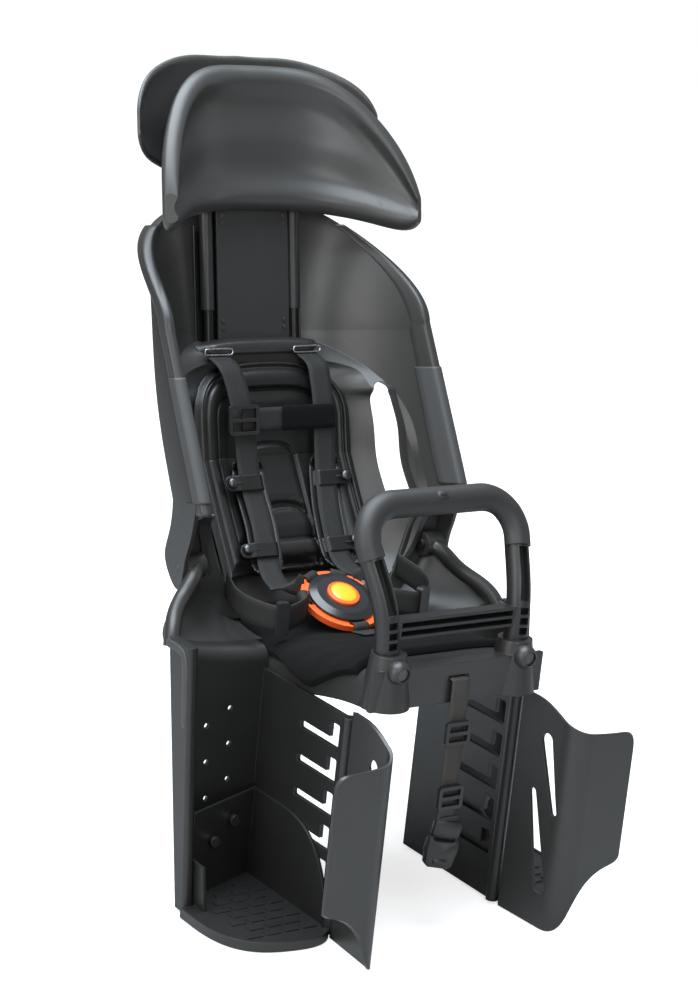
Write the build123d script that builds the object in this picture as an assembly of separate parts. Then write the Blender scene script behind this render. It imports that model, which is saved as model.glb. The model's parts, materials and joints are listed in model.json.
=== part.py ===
from build123d import *
import math
import os

# Rear child bike seat: moulded bucket, sliding headrest, leg guards, foot trays, grab bar and harness.
# Millimetres, +Z up, front towards -Y, the child's left towards +X.
# The origin is the centre of the flat carrier face under the seat pan.

# General clearances
SEAT_CLEARANCE = 0.3
SLIDE_CLEARANCE = 1.0
SCREW_CLEARANCE = 0.3

# Cuts: one passes through any wall, and the other is wider than the seat
THROUGH = 100.0
FAR = 800.0

# Backrest frame: leans back, h runs up along it and d stands out towards the front
BACK_LEAN_DEG = 11.6
BACK_FOOT_Y = 186.0
BACK_FOOT_Z = 266.0

# Backrest shell
SHELL_WALL = 5.0
SHELL_RIM_EXTRA = 4.5
SHELL_RIM_POWER = 8
SHELL_HALF_WIDTH = 142.0
SHELL_TOP_H = 124.0
SHELL_CROWN_START_H = 0.0
SHELL_CROWN_POWER = 2.6
SHELL_CROWN_SECTIONS = (0.2, 0.4, 0.58, 0.74, 0.87, 0.95)
SHELL_BOTTOM_H = -268.0
SHELL_UPPER_D = -16.0
SHELL_LOWER_D = 8.0
SHELL_LUMBAR_D = 72.0
SHELL_LUMBAR_H = -128.0
SHELL_LUMBAR_POWER = 1.1
SHELL_WING_D = 139.0
SHELL_SHOULDER_D = 85.0
SHELL_CROWN_D = -12.0
SHELL_BOW_POWER = 3.5
SECTION_CROWDING = 0.7
LEDGE_H = -7.0
LEDGE_DROP = 18.0
PANEL_HALF_WIDTH = 125.0
PANEL_SLOPE = 4.5
PANEL_START_H = -118.0
PANEL_MIN_WIDTH = 45.0
PANEL_STEP_FOOT = 5.0
PANEL_SECTIONS = (0.22, 0.42, 0.58, 0.71, 0.81, 0.89, 0.95, 1.0)
WINDOW_X = 115.0
WINDOW_WIDTH = 17.0
WINDOW_TOP_H = -58.0
WINDOW_LENGTH = 132.0
SLIDE_OPENING_WIDTH = 118.0
SLIDE_OPENING_TOP_H = 92.0
WING_SKIRT_DEPTH = 42.0
WING_SKIRT_BULGE = 0.5
WING_SKIRT_WALL = 3.0
WING_NOTCH_RADIUS = 46.0
WING_NOTCH_HEIGHT = 64.4
WING_FOOT_DEPTH = 14.0
EAR_RADIUS = 21.0
EAR_WALL = 4.0
EDGE_PAD_TOP_H = -43.0
EDGE_PAD_BOTTOM_H = -156.0
EDGE_PAD_REACH = 8.0
EDGE_PAD_THICKNESS = 1.6
EDGE_PAD_ROWS = 6

# Strap ledge across the backrest
STRAP_LEDGE_WIDTH = 156.0
STRAP_LEDGE_DEPTH = 17.0
STRAP_LEDGE_HEIGHT = 7.0
STRAP_SLOT_X = 51.0
STRAP_SLOT_LENGTH = 33.0
STRAP_SLOT_WIDTH = 5.0

# Headrest
HEADREST_HALF_WIDTH = 136.0
HEADREST_CENTRE_D = 18.0
HEADREST_TIP_D = 87.0
HEADREST_TOP_H = 250.0
HEADREST_BOTTOM_H = 113.0
HEADREST_TIP_TOP_H = 138.0
HEADREST_TIP_BOTTOM_H = 84.0
HEADREST_RIM = 17.0
HEADREST_DISH = 6.0
BAND_BOW_POWER = 2.6
BAND_LOW_POWER = 2.5
BAND_HIGH_POWER = 3.6
BAND_EDGE_LIMIT = 0.5
BAND_LIP_SHARE = 0.6
BAND_DISH_SHARE = 1.7
BAND_SECTIONS = ((0.3, 1.0), (0.55, 1.0), (0.74, 1.0), (0.88, 1.0), (0.96, 0.86), (1.0, 0.5))
COVER_GAP = 22.0
COVER_WALL = 4.0
COVER_TOP_H = 262.0
COVER_BOTTOM_H = 140.0
COVER_TIP_TOP_H = 218.0
COVER_TIP_BOTTOM_H = 168.0
COVER_TIP_D = 22.0
COVER_HALF_WIDTH = 136.0
HEADREST_SCREW_ROWS_H = (150.0, 215.0)
HEADREST_SCREW_X = 26.0
HEADREST_SCREW_RADIUS = 2.5
HEADREST_SCREW_HEAD_RADIUS = 4.5
HEADREST_SCREW_HEAD = 2.5
HEADREST_BOSS_RADIUS = 6.0
HEADREST_SKIN = 4.0
HEADREST_SCREW_PLAY = 1.0

# Slide plate, posts and height lock
PLATE_WIDTH = 82.0
PLATE_THICKNESS = 3.0
PLATE_BOTTOM_H = -130.0
PLATE_TOP_H = 232.0
RIVET_RADIUS = 2.2
RIVET_HEAD = 0.9
RIVET_EDGE = 5.5
RIVET_PITCH = 7.0
RIVET_ROWS_H = (-2.0, 100.0)
POST_X = 50.0
POST_RADIUS = 5.0
POST_BOTTOM_H = -120.0
POST_CENTRE_D = -5.5
SLEEVE_RADIUS = 6.5
SLEEVE_BOTTOM_H = 16.0
SLEEVE_TOP_H = 226.0
POST_CLAMP_SIZE = (26.0, 9.0, 16.0)
POST_CLAMP_ROWS_H = (132.0, 182.0)
LOCK_H = -58.0
LOCK_HOUSING_WIDTH = 156.0
LOCK_HOUSING_DEPTH = 16.0
LOCK_HOUSING_HEIGHT = 40.0
LOCK_FLANGE_WIDTH = 12.0
LOCK_FLANGE_REACH = 34.75
LOCK_ROOM_SECTIONS = (-0.8, 0.0, 0.65)
LOCK_BUTTON_WIDTH = 30.0
LOCK_BUTTON_HEIGHT = 18.0
LOCK_BUTTON_PROUD = 6.0
LOCK_TRAVEL = 4.0

# Seat pan and saddle
PAN_WALL = 5.0
PAN_CENTRE_Z = 13.0
PAN_REAR_Y = 52.0
PAN_REAR_RIM_Z = 77.0
PAN_FRONT_Y = -2.0
PAN_POWER = 5.0
LUG_X = 139.0
LUG_Y = 46.0
LUG_Z = 74.0
LUG_RADIUS = 12.0
LUG_INNER_X = 127.0
LUG_BOLT_RADIUS = 3.0
LUG_BOLT_HEAD_RADIUS = 5.5
LUG_BOLT_HEAD = 3.0
RIM_RADIUS = 7.5
RIM_MIDDLE_SHARES = (0.35, 0.45, 0.42)
LIP_X = 189.0
LIP_TOP_Z = 27.0
SADDLE_HALF_WIDTH = 91.0
SADDLE_FRONT_Y = -186.0
SADDLE_RISE = 31.0
SADDLE_SKIRT = 46.0
SADDLE_POWER = 5.0
SADDLE_START_DEG = 1.0
CARRIER_PAD_LENGTH = 130.0
CARRIER_PAD_WIDTH = 120.0
CARRIER_HOLE_RADIUS = 3.3
CARRIER_HOLE_SPACING_X = 90.0
CARRIER_HOLE_SPACING_Y = 100.0
CARRIER_HEAD_RADIUS = 5.0
CARRIER_HEAD_TOP_Z = 21.5

# Front apron and grab bar
APRON_WALL = 5.0
APRON_BOTTOM_Z = 7.5
APRON_HALF_WIDTH = 94.0
SOCKET_X = 70.0
SOCKET_Y = -178.0
SOCKET_TOP_Z = 56.0
SOCKET_WALL = 4.5
SOCKET_FLARE = 7.0
BOSS_RADIUS = 11.0
BOSS_Z = 43.0
BOSS_SCREW_RADIUS = 6.0
BOSS_SCREW_HEAD = 2.0
BOSS_SCREW_RECESS = 6.0
BAR_RADIUS = 11.0
BAR_BOTTOM_Z = 20.0
BAR_BEND_X = 73.0
BAR_BEND_Y = -174.0
BAR_BEND_Z = 92.0
BAR_TOP_X = 88.0
BAR_TOP_Y = -130.0
BAR_TOP_Z = 175.0
BAR_CORNER_RADIUS = 34.0
BAR_BEND_RADIUS = 110.0
GRIP_WALL = 1.8
GRIP_END_Z = 133.0
CROSSBAR_BOTTOM_Z = 68.0
CROSSBAR_HEIGHT = 18.0
CROSSBAR_DEPTH = 13.0
CROSSBAR_RIB = 2.8
POCKET_WIDTH = 9.0
POCKET_DEPTH = 8.0

# Leg guards
GUARD_WALL = 4.0
GUARD_BOTTOM_Z = -210.0
GUARD_FRONT_Y = -163.0
GUARD_REAR_Y = -27.0
GUARD_REAR_TOP_SHIFT = 8.0
GUARD_REAR_BOTTOM_SHIFT = -39.0
GUARD_TOP_Z = -6.0
GUARD_SHOULDER = 14.0
GUARD_SECTIONS = (0.0, 0.3, 0.6, 0.85, 1.0)
LIP_TOP_DEPTH = 34.0
LIP_BOTTOM_DEPTH = 15.0
LIP_WIDTH = 10.0
LIP_CORNER = 4.0
LIP_PAD_BOTTOM_Z = -46.0
LIP_PAD_WALL = 1.6
SLOT_COUNT = 5
SLOT_PITCH = 32.2
SLOT_FIRST_Z = -36.0
SLOT_FRONT_Y = -152.0
SLOT_LENGTH = 60.0
SLOT_WIDTH = 7.5
SLOT_LEG_HEIGHT = 22.0
SLOT_LEG_WIDTH = 14.0
REAR_HOLE_RADIUS = 2.6
REAR_HOLE_PITCH = 33.5
REAR_HOLE_COLUMNS = ((130.0, -40.0), (156.0, -53.0))
REAR_HOLE_ROWS = 3

# Front guards
FRONT_GUARD_WALL = 3.0
FRONT_GUARD_TOP_Z = 2.0
FRONT_GUARD_TOP_DROP = 22.0
FRONT_GUARD_BOTTOM_Z = -212.0
FRONT_GUARD_FLAP_BOTTOM_Z = -140.0
FRONT_GUARD_TOP_BOW = 13.2
FRONT_GUARD_OVERRUN = 1.0
FRONT_GUARD_HOLES = (
    ((-210.0, -35.0), (-229.0, -98.0), 7.0, 3.5),
    ((-200.0, -88.0), (-222.0, -172.0), 4.0, 7.5),
)
FRONT_GUARD_FLAP_X = 165.0
FRONT_GUARD_FLAP_Y = -251.0
FRONT_GUARD_FOLD_RADIUS = 22.0
FRONT_GUARD_SPREAD = 5.0
RIB_RADIUS = 6.0

# Foot trays
TRAY_WALL = 3.0
TRAY_FLOOR_Z = -204.0
TRAY_FRONT_Y = -176.0
TRAY_OUTER_X = 199.0
TRAY_WALL_TOP_Z = -120.0
TRAY_RIM = 8.0
TRAY_REAR_GAP = 1.5
TRAY_TAB_HEIGHT = 40.0
TRAY_SIDE_SHARE = 0.3
TRAY_NOSE_SHARE = 0.45
TRAY_KNEE_SHARE = 0.36
TREAD_HEIGHT = 1.2
TREAD_LENGTH = 15.0
TREAD_WIDTH = 8.0
TREAD_PITCH_X = 19.0
TREAD_PITCH_Y = 14.0
TREAD_COLUMNS = 4
TREAD_FRONT_MARGIN = 20.0
TREAD_REAR_MARGIN = 12.0
TREAD_SIDE_MARGIN = 15.2
TRAY_SCREW_RADIUS = 5.0
TRAY_SCREW_HEAD = 2.6
TRAY_SCREW_SHANK_RADIUS = 2.4

# Pads
PAD_LIFT = 0.8
BACK_PAD_THICKNESS = 12.0
BACK_PAD_HALF_WIDTH = 90.0
BACK_PAD_TOP_H = -38.0
BACK_PAD_CROWN_H = -95.0
BACK_PAD_BOTTOM_H = -238.0
BACK_PAD_CROWN = 6.0
BACK_PAD_RISE = 3.0
BACK_PAD_BORDER = 17.0
BACK_PAD_SEAM = 5.0
CUSHION_HALF_WIDTH = 31.0
CUSHION_TOP_H = -114.0
CUSHION_PITCH = 53.0
CUSHION_ROWS = 2
CUSHION_CROWN_SHARE = 0.4
BACK_PAD_SECTIONS = (0.0, 0.16, 0.32, 0.48, 0.64, 0.8, 0.92, 1.0)
SEAT_PAD_THICKNESS = 6.0
SEAT_PAD_FRONT_Y = -158.0
SEAT_PAD_REAR_Y = 44.0
SEAT_PAD_REAR_HALF_WIDTH = 84.0
SEAT_PAD_DRAPE_Y = -96.0
SEAT_PAD_DRAPE_LENGTH = 70.0
SEAT_PAD_EDGE_DEG = 30.0
SEAT_PAD_DRAPE_DEG = 4.0
SEAT_PAD_REAR_SECTIONS = (0.4, 1.0)

# Harness: places on the backrest are x, d, h, and places on the pan are x, y, z
WEBBING_WIDTH = 25.0
WEBBING_THICKNESS = 1.6
SHOULDER_SWAY = 7.0
SHOULDER_PLACES = (
    (51.0, 30.0, -38.0),
    (49.0, 35.0, -55.0),
    (47.0, 39.0, -85.0),
    (44.0, 45.0, -145.0),
    (40.0, 62.5, -190.0),
    (43.0, 84.0, -230.0),
    (54.0, 122.0, -243.0),
)
WRAP_WIDTH = 33.0
WRAP_THICKNESS = 1.6
WRAP_START = 0.42
WRAP_END = 0.82
TAB_SHARES = (0.5, 0.75)
TAB_SHIFT = 8.0
TAB_LENGTH = 44.0
TAB_WIDTH = 15.0
TAB_THICKNESS = 1.6
STUD_SHIFT = 22.0
STUD_RADIUS = 5.2
STUD_HEIGHT = 2.8
CHEST_H = -89.0
CHEST_D = 42.0
CHEST_SLIDE_X = -43.0
CHEST_END_X = 62.0
CHEST_STRAP_WIDTH = 22.0
SLIDE_BUCKLE_WIDTH = 34.0
SLIDE_BUCKLE_HEIGHT = 29.0
SLIDE_BUCKLE_THICKNESS = 3.6
SLIDE_BUCKLE_BAR = 3.6
BUCKLE_Y = -4.0
BUCKLE_Z = 44.8
BUCKLE_TILT_DEG = 24.0
BUCKLE_RADIUS = 33.0
BUCKLE_BASE_HEIGHT = 12.0
BUCKLE_LID_HEIGHT = 5.0
BUCKLE_LID_SLOPE = 7.5
RING_INNER_RADIUS = 28.0
RING_OUTER_RADIUS = 39.5
RING_HEIGHT = 6.0
TONGUE_WINDOWS_DEG = (10.0, 65.0, 115.0, 170.0, 270.0)
WINDOW_SLOT_WIDTH = 4.0
WINDOW_SLOT_LENGTH = 20.0
BUTTON_RADIUS = 16.0
BUTTON_HEIGHT = 6.0
BUTTON_WELL = 5.0
BUTTON_PROUD = 2.6
WAIST_PLACES = (
    (98.0, 45.0, 55.0),
    (106.0, 15.0, 47.0),
    (98.0, -10.0, 42.0),
    (79.0, -25.0, 39.0),
    (55.0, -20.0, 42.0),
    (40.4, -8.0, 44.0),
)
WAIST_LOOP_SHARE = 0.66
WAIST_LOOP_WIDTH = 13.0
WAIST_LOOP_HEIGHT = 33.0
WAIST_LOOP_DEPTH = 7.0
CROTCH_PLACES = ((0.0, -64.0, 29.4), (0.0, -52.0, 27.0), (0.0, -42.0, 25.2))

# Front strap with its side-release buckle
FRONT_STRAP_WIDTH = 20.0
FRONT_STRAP_THICKNESS = 1.5
FRONT_STRAP_TOP_Z = 30.0
FRONT_STRAP_LENGTH = 134.0
FRONT_STRAP_STANDOFF = 4.0
FRONT_SLIDE_DROPS = (50.0, 111.0)
FRONT_SLIDE_WIDTH = 27.0
FRONT_SLIDE_HEIGHT = 22.0
FRONT_SLIDE_THICKNESS = 4.0
FRONT_BUCKLE_LENGTH = 44.0
FRONT_BUCKLE_WIDTH = 27.0
FRONT_BUCKLE_DEPTH = 9.0
FRONT_BUCKLE_WALL = 3.0
FRONT_BUCKLE_MOUTH = 4.0

BACK = Pos(0, BACK_FOOT_Y, BACK_FOOT_Z) * Rot(-BACK_LEAN_DEG, 0, 0)
NODES = {}


def mix(a, b, share):
    return a + (b - a) * share


def smooth(share):
    share = min(1.0, max(0.0, share))
    return share * share * (3 - 2 * share)


def even_shares(steps):
    """Shares from 0 to 1 in equal steps."""
    return [i / steps for i in range(steps + 1)]


def mirrored(shape):
    return mirror(shape, about=Plane.YZ)


def add_pair(name, left_shape):
    """The same piece on the child's left side and, mirrored, on the right side."""
    NODES[f"left_{name}"] = left_shape
    NODES[f"right_{name}"] = mirrored(left_shape)


def on_back(x, d, h):
    """A point of the leaning backrest frame, in the seat's frame."""
    lean = math.radians(BACK_LEAN_DEG)
    y = BACK_FOOT_Y + h * math.sin(lean) - d * math.cos(lean)
    z = BACK_FOOT_Z + h * math.cos(lean) + d * math.sin(lean)
    return Vector(x, y, z)


def offset_points(points, amounts):
    """Points moved to the left of their own line of travel, in a plane."""
    moved = []
    for i, (a, b) in enumerate(points):
        a0, b0 = points[max(i - 1, 0)]
        a1, b1 = points[min(i + 1, len(points) - 1)]
        run = math.hypot(a1 - a0, b1 - b0)
        moved.append((a - amounts[i] * (b1 - b0) / run, b + amounts[i] * (a1 - a0) / run))
    return moved


def strip_wire(front, back, place):
    """Closed outline of a bent wall between two smooth lines; place lifts plane points into space."""
    front = [place(*p) for p in front]
    back = [place(*p) for p in back]
    edges = [
        Edge.make_spline(front),
        Edge.make_line(front[-1], back[-1]),
        Edge.make_spline(back[::-1]),
        Edge.make_line(back[0], front[0]),
    ]
    return Wire(edges)


def ribbon(points, width, thickness, across=(1, 0, 0)):
    """A flat strap along points; across is the direction of its width."""
    points = [Vector(*point) for point in points]
    half = Vector(*across).normalized() * (width / 2)
    rows = []
    for i, point in enumerate(points):
        run = points[min(i + 1, len(points) - 1)] - points[max(i - 1, 0)]
        out = half.cross(run).normalized() * (thickness / 2)
        corners = [point - half - out, point + half - out, point + half + out, point - half + out]
        rows.append(Wire.make_polygon(corners, close=True))
    return Solid.make_loft(rows, ruled=True)


def cut_all(shape, tools):
    for tool in tools:
        shape -= tool
    return shape


def largest(shape):
    return shape.solids().sort_by(SortBy.VOLUME)[-1]


def smooth_path(points, steps=20):
    """Evenly spaced points along a smooth line through the given ones."""
    line = Edge.make_spline([Vector(*point) for point in points])
    return [line.position_at(i / steps) for i in range(steps + 1)]


def slide_buckle(width, height, thickness, bar):
    """Frame with a middle bar that a strap threads through, flat in the XY plane."""
    frame = RectangleRounded(width, height, bar)
    window_height = (height - 3 * bar) / 2
    for side in (-1, 1):
        frame -= Pos(0, side * (window_height + bar) / 2) * Rectangle(width - 2 * bar, window_height)
    return extrude(frame, thickness / 2, both=True)


# Backrest shell
EAR_INNER_X = SHELL_HALF_WIDTH + SHELL_WALL + SHELL_RIM_EXTRA + WING_SKIRT_BULGE - EAR_WALL


def crown_width(h, half_width, start_h, top_h):
    """Half width of a panel whose top is rounded like a flattened ellipse."""
    if h <= start_h:
        return half_width
    share = (h - start_h) / (top_h - start_h)
    return half_width * max(0.0, 1 - share**SHELL_CROWN_POWER) ** (1 / SHELL_CROWN_POWER)


def shell_width(h):
    return crown_width(h, SHELL_HALF_WIDTH, SHELL_CROWN_START_H, SHELL_TOP_H)


def shell_centre(h):
    """Depth of the raised panel's front face on its middle line."""
    lumbar = max(0.0, (SHELL_LUMBAR_H - h) / (SHELL_LUMBAR_H - SHELL_BOTTOM_H))
    return mix(SHELL_LOWER_D, SHELL_LUMBAR_D, lumbar**SHELL_LUMBAR_POWER)


def shell_edge(h):
    """Depth of the wing's front edge."""
    down = (SHELL_TOP_H - h) / (SHELL_TOP_H - SHELL_CROWN_START_H)
    crown = mix(SHELL_CROWN_D, SHELL_SHOULDER_D, smooth(down))
    below = max(0.0, (SHELL_CROWN_START_H - h) / (SHELL_CROWN_START_H - EDGE_PAD_BOTTOM_H))
    return crown + (SHELL_WING_D - SHELL_SHOULDER_D) * below


def shell_depth(x, h):
    """Depth of the raised panel's face, flat in the middle and turned forward at the sides."""
    share = min(1.0, abs(x) / shell_width(h))
    return mix(shell_centre(h), shell_edge(h), share**SHELL_BOW_POWER)


def wing_depth(x, h):
    """Depth of the wings and the crown, behind the raised panel's face except at the front edge."""
    down = (LEDGE_H - h) / (LEDGE_H - EDGE_PAD_BOTTOM_H)
    step = mix(SHELL_LOWER_D - SHELL_UPPER_D, PANEL_STEP_FOOT, min(1.0, max(0.0, down)))
    share = min(1.0, abs(x) / shell_width(h))
    return shell_depth(x, h) - step * (1 - share**SHELL_BOW_POWER)


def shell_wall(x, width):
    """Thickness of the shell, which grows into a rim at its edges."""
    return SHELL_WALL + SHELL_RIM_EXTRA * abs(x / width) ** SHELL_RIM_POWER


def shell_section(h, middle_depth, steps=6):
    """Closed section of the shell: the middle, its two sloping edges and the wings."""
    width = shell_width(h)
    slope_top = PANEL_HALF_WIDTH + PANEL_SLOPE
    inner = max(PANEL_MIN_WIDTH, crown_width(h, PANEL_HALF_WIDTH, PANEL_START_H, LEDGE_H - LEDGE_DROP))
    outer = max(PANEL_MIN_WIDTH + PANEL_SLOPE, crown_width(h, slope_top, PANEL_START_H, LEDGE_H))
    lines = []
    for inset in (0.0, SHELL_WALL):
        wing = [mix(outer - inset, width, share) for share in even_shares(steps)]
        middle = [mix(inset - inner, inner - inset, share) for share in even_shares(2 * steps)]
        runs = [
            [(-x, -wing_depth(x, h)) for x in wing[::-1]],
            [(x, -middle_depth(x, h)) for x in middle],
            [(x, -wing_depth(x, h)) for x in wing],
        ]
        if inset:
            runs = [offset_points(run, [shell_wall(x, width) for x, y in run]) for run in runs]
        lines.append([[Vector(x, y, h) for x, y in run] for run in runs])
    edges = []
    for left, middle, right in lines:
        edges += [Edge.make_spline(left), Edge.make_line(left[-1], middle[0]), Edge.make_spline(middle)]
        edges += [Edge.make_line(middle[-1], right[0]), Edge.make_spline(right)]
    front, rear = lines
    edges += [Edge.make_line(front[0][0], rear[0][0]), Edge.make_line(front[2][-1], rear[2][-1])]
    return Wire(edges)


def back_strip(h, half_width, near, far, steps=8):
    """Closed section at height h between two offsets in front of the raised panel's face."""
    shares = [math.copysign(abs(i / steps) ** SECTION_CROWDING, i) for i in range(-steps, steps + 1)]
    face = [(half_width * s, -shell_depth(half_width * s, h)) for s in shares]
    front = offset_points(face, [-far] * len(face))
    rear = offset_points(face, [-near] * len(face))
    return strip_wire(front, rear, lambda x, y: Vector(x, y, h))


def make_wing_skirt():
    """Outer return flange that runs back from the front edge of the child's left wing."""
    rows = []
    for share in even_shares(4):
        h = mix(EDGE_PAD_BOTTOM_H - LUG_RADIUS, SHELL_TOP_H / 2, share)
        depth = mix(WING_SKIRT_DEPTH, SHELL_WALL, share**2)
        x = shell_width(h) + mix(SHELL_WALL + SHELL_RIM_EXTRA, WING_SKIRT_WALL, share**4)
        y = -shell_edge(h) + SHELL_WALL
        middle = (x + WING_SKIRT_BULGE / 2, y + depth / 2)
        line = [(x - SHELL_WALL / 2, y), middle, (x + WING_SKIRT_BULGE, y + depth)]
        inner = [(a - WING_SKIRT_WALL, b) for a, b in line]
        rows.append(strip_wire(line, inner, lambda a, b, z=h: Vector(a, b, z)))
    return Solid.make_loft(rows)


def make_wing_notch():
    """Cut that shapes the wings' lower ends, from the edge pad round to the lugs and down to the pan."""
    wing = -shell_edge(EDGE_PAD_BOTTOM_H)
    waist = wing + WING_NOTCH_RADIUS
    corner = EDGE_PAD_BOTTOM_H - LUG_RADIUS
    waist_h = corner - WING_NOTCH_HEIGHT
    bottom = SHELL_BOTTOM_H - PAN_WALL
    notch = Polyline((waist, waist_h), (-SHELL_LUMBAR_D - WING_FOOT_DEPTH, bottom), (-FAR, bottom))
    notch += Polyline((-FAR, bottom), (-FAR, corner), (wing, corner))
    notch += Spline((wing, corner), (waist, waist_h), tangents=((1, 0.2), (0.2, -1)))
    return extrude(Plane.YZ * make_face(notch), FAR, both=True)


def make_ear():
    """Rounded lower end of the child's left wing skirt, that is bolted to the pan's lug."""
    top_h = EDGE_PAD_BOTTOM_H
    lug = BACK.inverse() * Pos(LUG_X, LUG_Y, LUG_Z)
    lug_y, lug_h = lug.position.Y, lug.position.Z
    front = -shell_edge(top_h) + SHELL_WALL
    outline = Line((front, top_h), (front + WING_SKIRT_DEPTH, top_h))
    outline += Spline(
        (front + WING_SKIRT_DEPTH, top_h),
        (lug_y + EAR_RADIUS, lug_h),
        (lug_y, lug_h - EAR_RADIUS),
        (lug_y - EAR_RADIUS / 2, lug_h),
        (front, top_h),
        tangents=((0.1, -1), (-0.3, 1)),
    )
    return Pos(EAR_INNER_X, 0, 0) * extrude(Plane.YZ * make_face(outline), EAR_WALL)


def make_backrest_shell():
    ledge_foot = LEDGE_H - LEDGE_DROP
    lower = [mix(SHELL_BOTTOM_H, PANEL_START_H, share) for share in even_shares(4)]
    lower += [mix(PANEL_START_H, LEDGE_H, share) for share in PANEL_SECTIONS]
    upper = [mix(SHELL_CROWN_START_H, SHELL_TOP_H, share) for share in SHELL_CROWN_SECTIONS]
    shell = Solid.make_loft([shell_section(h, shell_depth) for h in lower])
    shell = shell.fuse(Solid.make_loft([shell_section(h, wing_depth) for h in [LEDGE_H] + upper]))
    window = Rot(90, 0, 0) * extrude(SlotOverall(WINDOW_LENGTH, WINDOW_WIDTH, rotation=90), FAR, both=True)
    for side in (-1, 1):
        shell -= Pos(side * WINDOW_X, 0, WINDOW_TOP_H - WINDOW_LENGTH / 2) * window
    opening_height = SLIDE_OPENING_TOP_H - ledge_foot
    opening = Box(SLIDE_OPENING_WIDTH, FAR, opening_height)
    shell -= Pos(0, 0, ledge_foot + opening_height / 2) * opening
    shell -= make_wing_notch()
    sides = [make_wing_skirt(), make_ear()]
    return shell.fuse(*sides, *[mirrored(side) for side in sides])


def make_edge_pad():
    """Soft cap over the front edge of the child's left wing: a leaf on the inner face and one on the rim."""
    rows = []
    for row in even_shares(EDGE_PAD_ROWS):
        h = mix(EDGE_PAD_BOTTOM_H, EDGE_PAD_TOP_H, row)
        width = shell_width(h)
        shares = [1 - EDGE_PAD_REACH / width * (1 - share) for share in even_shares(EDGE_PAD_ROWS)]
        face = [(width * s, -wing_depth(width * s, h)) for s in shares]
        rim = offset_points(face, [SHELL_WALL + SHELL_RIM_EXTRA] * len(face))[-1]
        line = face + [rim]
        near = offset_points(line, [-SEAT_CLEARANCE] * len(line))
        far = offset_points(line, [-SEAT_CLEARANCE - EDGE_PAD_THICKNESS] * len(line))
        rows.append(Wire.make_polygon([Vector(x, y, h) for x, y in near + far[::-1]], close=True))
    return Solid.make_loft(rows, ruled=True)


def make_strap_ledge(shell):
    height = LEDGE_H - LEDGE_DROP + STRAP_LEDGE_HEIGHT / 2
    depth = SHELL_LOWER_D - SHELL_WALL + STRAP_LEDGE_DEPTH / 2
    ledge = Pos(0, -depth, height) * Box(STRAP_LEDGE_WIDTH, STRAP_LEDGE_DEPTH, STRAP_LEDGE_HEIGHT)
    ledge = fillet(ledge.edges().filter_by(Axis.X), STRAP_LEDGE_HEIGHT / 4)
    for side in (-1, 1):
        slot = Box(STRAP_SLOT_LENGTH, STRAP_SLOT_WIDTH, 2 * STRAP_LEDGE_HEIGHT)
        ledge -= Pos(side * STRAP_SLOT_X, -depth, height) * slot
    return ledge - shell


SHELL_BODY = make_backrest_shell()
add_pair("edge_pad", BACK * make_edge_pad())
NODES["strap_ledge"] = BACK * make_strap_ledge(SHELL_BODY)


# Headrest pad and cover, two curved bands around the child's head
class Band:
    """Curved band: u runs from -1 to 1 across it, and the plan line is the band's front face."""

    def __init__(self, half_width, centre_d, tip_d, heights, tip_heights, thickness, dish):
        self.half_width, self.centre_d, self.tip_d = half_width, centre_d, tip_d
        self.heights, self.tip_heights = heights, tip_heights
        self.thickness, self.dish = thickness, dish

    def line(self, u):
        """Plan position and inward direction of the front face."""
        bow = self.tip_d - self.centre_d
        slope = BAND_BOW_POWER * bow * abs(u) ** (BAND_BOW_POWER - 1) / self.half_width
        slope = math.copysign(slope, u)
        run = math.hypot(1, slope)
        place = (self.half_width * u, -self.centre_d - bow * abs(u) ** BAND_BOW_POWER)
        return place, (-slope / run, -1 / run)

    def wire(self, u, shrink):
        """Closed rounded section with a dished front."""
        (x, y), (nx, ny) = self.line(u)
        low = mix(self.heights[0], self.tip_heights[0], abs(u) ** BAND_LOW_POWER)
        high = mix(self.heights[1], self.tip_heights[1], abs(u) ** BAND_HIGH_POWER)
        middle = (low + high) / 2
        half = (high - low) / 2 * shrink
        thick = self.thickness * (1 + shrink) / 2
        dish = self.dish * shrink
        edge = min(thick, half * BAND_EDGE_LIMIT)
        section = [
            (-thick, edge - half),
            (-thick / 2, -half),
            (0.0, BAND_LIP_SHARE * edge - half),
            (-dish, BAND_DISH_SHARE * edge - half),
            (-dish, 0.0),
            (-dish, half - BAND_DISH_SHARE * edge),
            (0.0, half - BAND_LIP_SHARE * edge),
            (-thick / 2, half),
            (-thick, half - edge),
        ]
        points = [Vector(x + nx * a, y + ny * a, middle + b) for a, b in section]
        return Wire([Edge.make_spline(points), Edge.make_line(points[-1], points[0])])

    def solid(self):
        far_half = [(-u, shrink) for u, shrink in BAND_SECTIONS[::-1]]
        sections = far_half + [(0.0, 1.0)] + list(BAND_SECTIONS)
        return Solid.make_loft([self.wire(u, shrink) for u, shrink in sections])


COVER_FRONT_D = HEADREST_CENTRE_D - HEADREST_RIM - COVER_GAP
head_pad = Band(
    HEADREST_HALF_WIDTH,
    HEADREST_CENTRE_D,
    HEADREST_TIP_D,
    (HEADREST_BOTTOM_H, HEADREST_TOP_H),
    (HEADREST_TIP_BOTTOM_H, HEADREST_TIP_TOP_H),
    HEADREST_RIM,
    HEADREST_DISH,
).solid()
head_cover = Band(
    COVER_HALF_WIDTH,
    COVER_FRONT_D,
    COVER_TIP_D,
    (COVER_BOTTOM_H, COVER_TOP_H),
    (COVER_TIP_BOTTOM_H, COVER_TIP_TOP_H),
    COVER_WALL,
    0.0,
).solid()
SCREW_PLACES = [(side * HEADREST_SCREW_X, h) for side in (-1, 1) for h in HEADREST_SCREW_ROWS_H]


def along_depth(radius, from_d, to_d):
    """Round bar along the depth of the backrest frame."""
    return Pos(0, -(from_d + to_d) / 2, 0) * Rot(90, 0, 0) * Cylinder(radius, abs(to_d - from_d))


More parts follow.
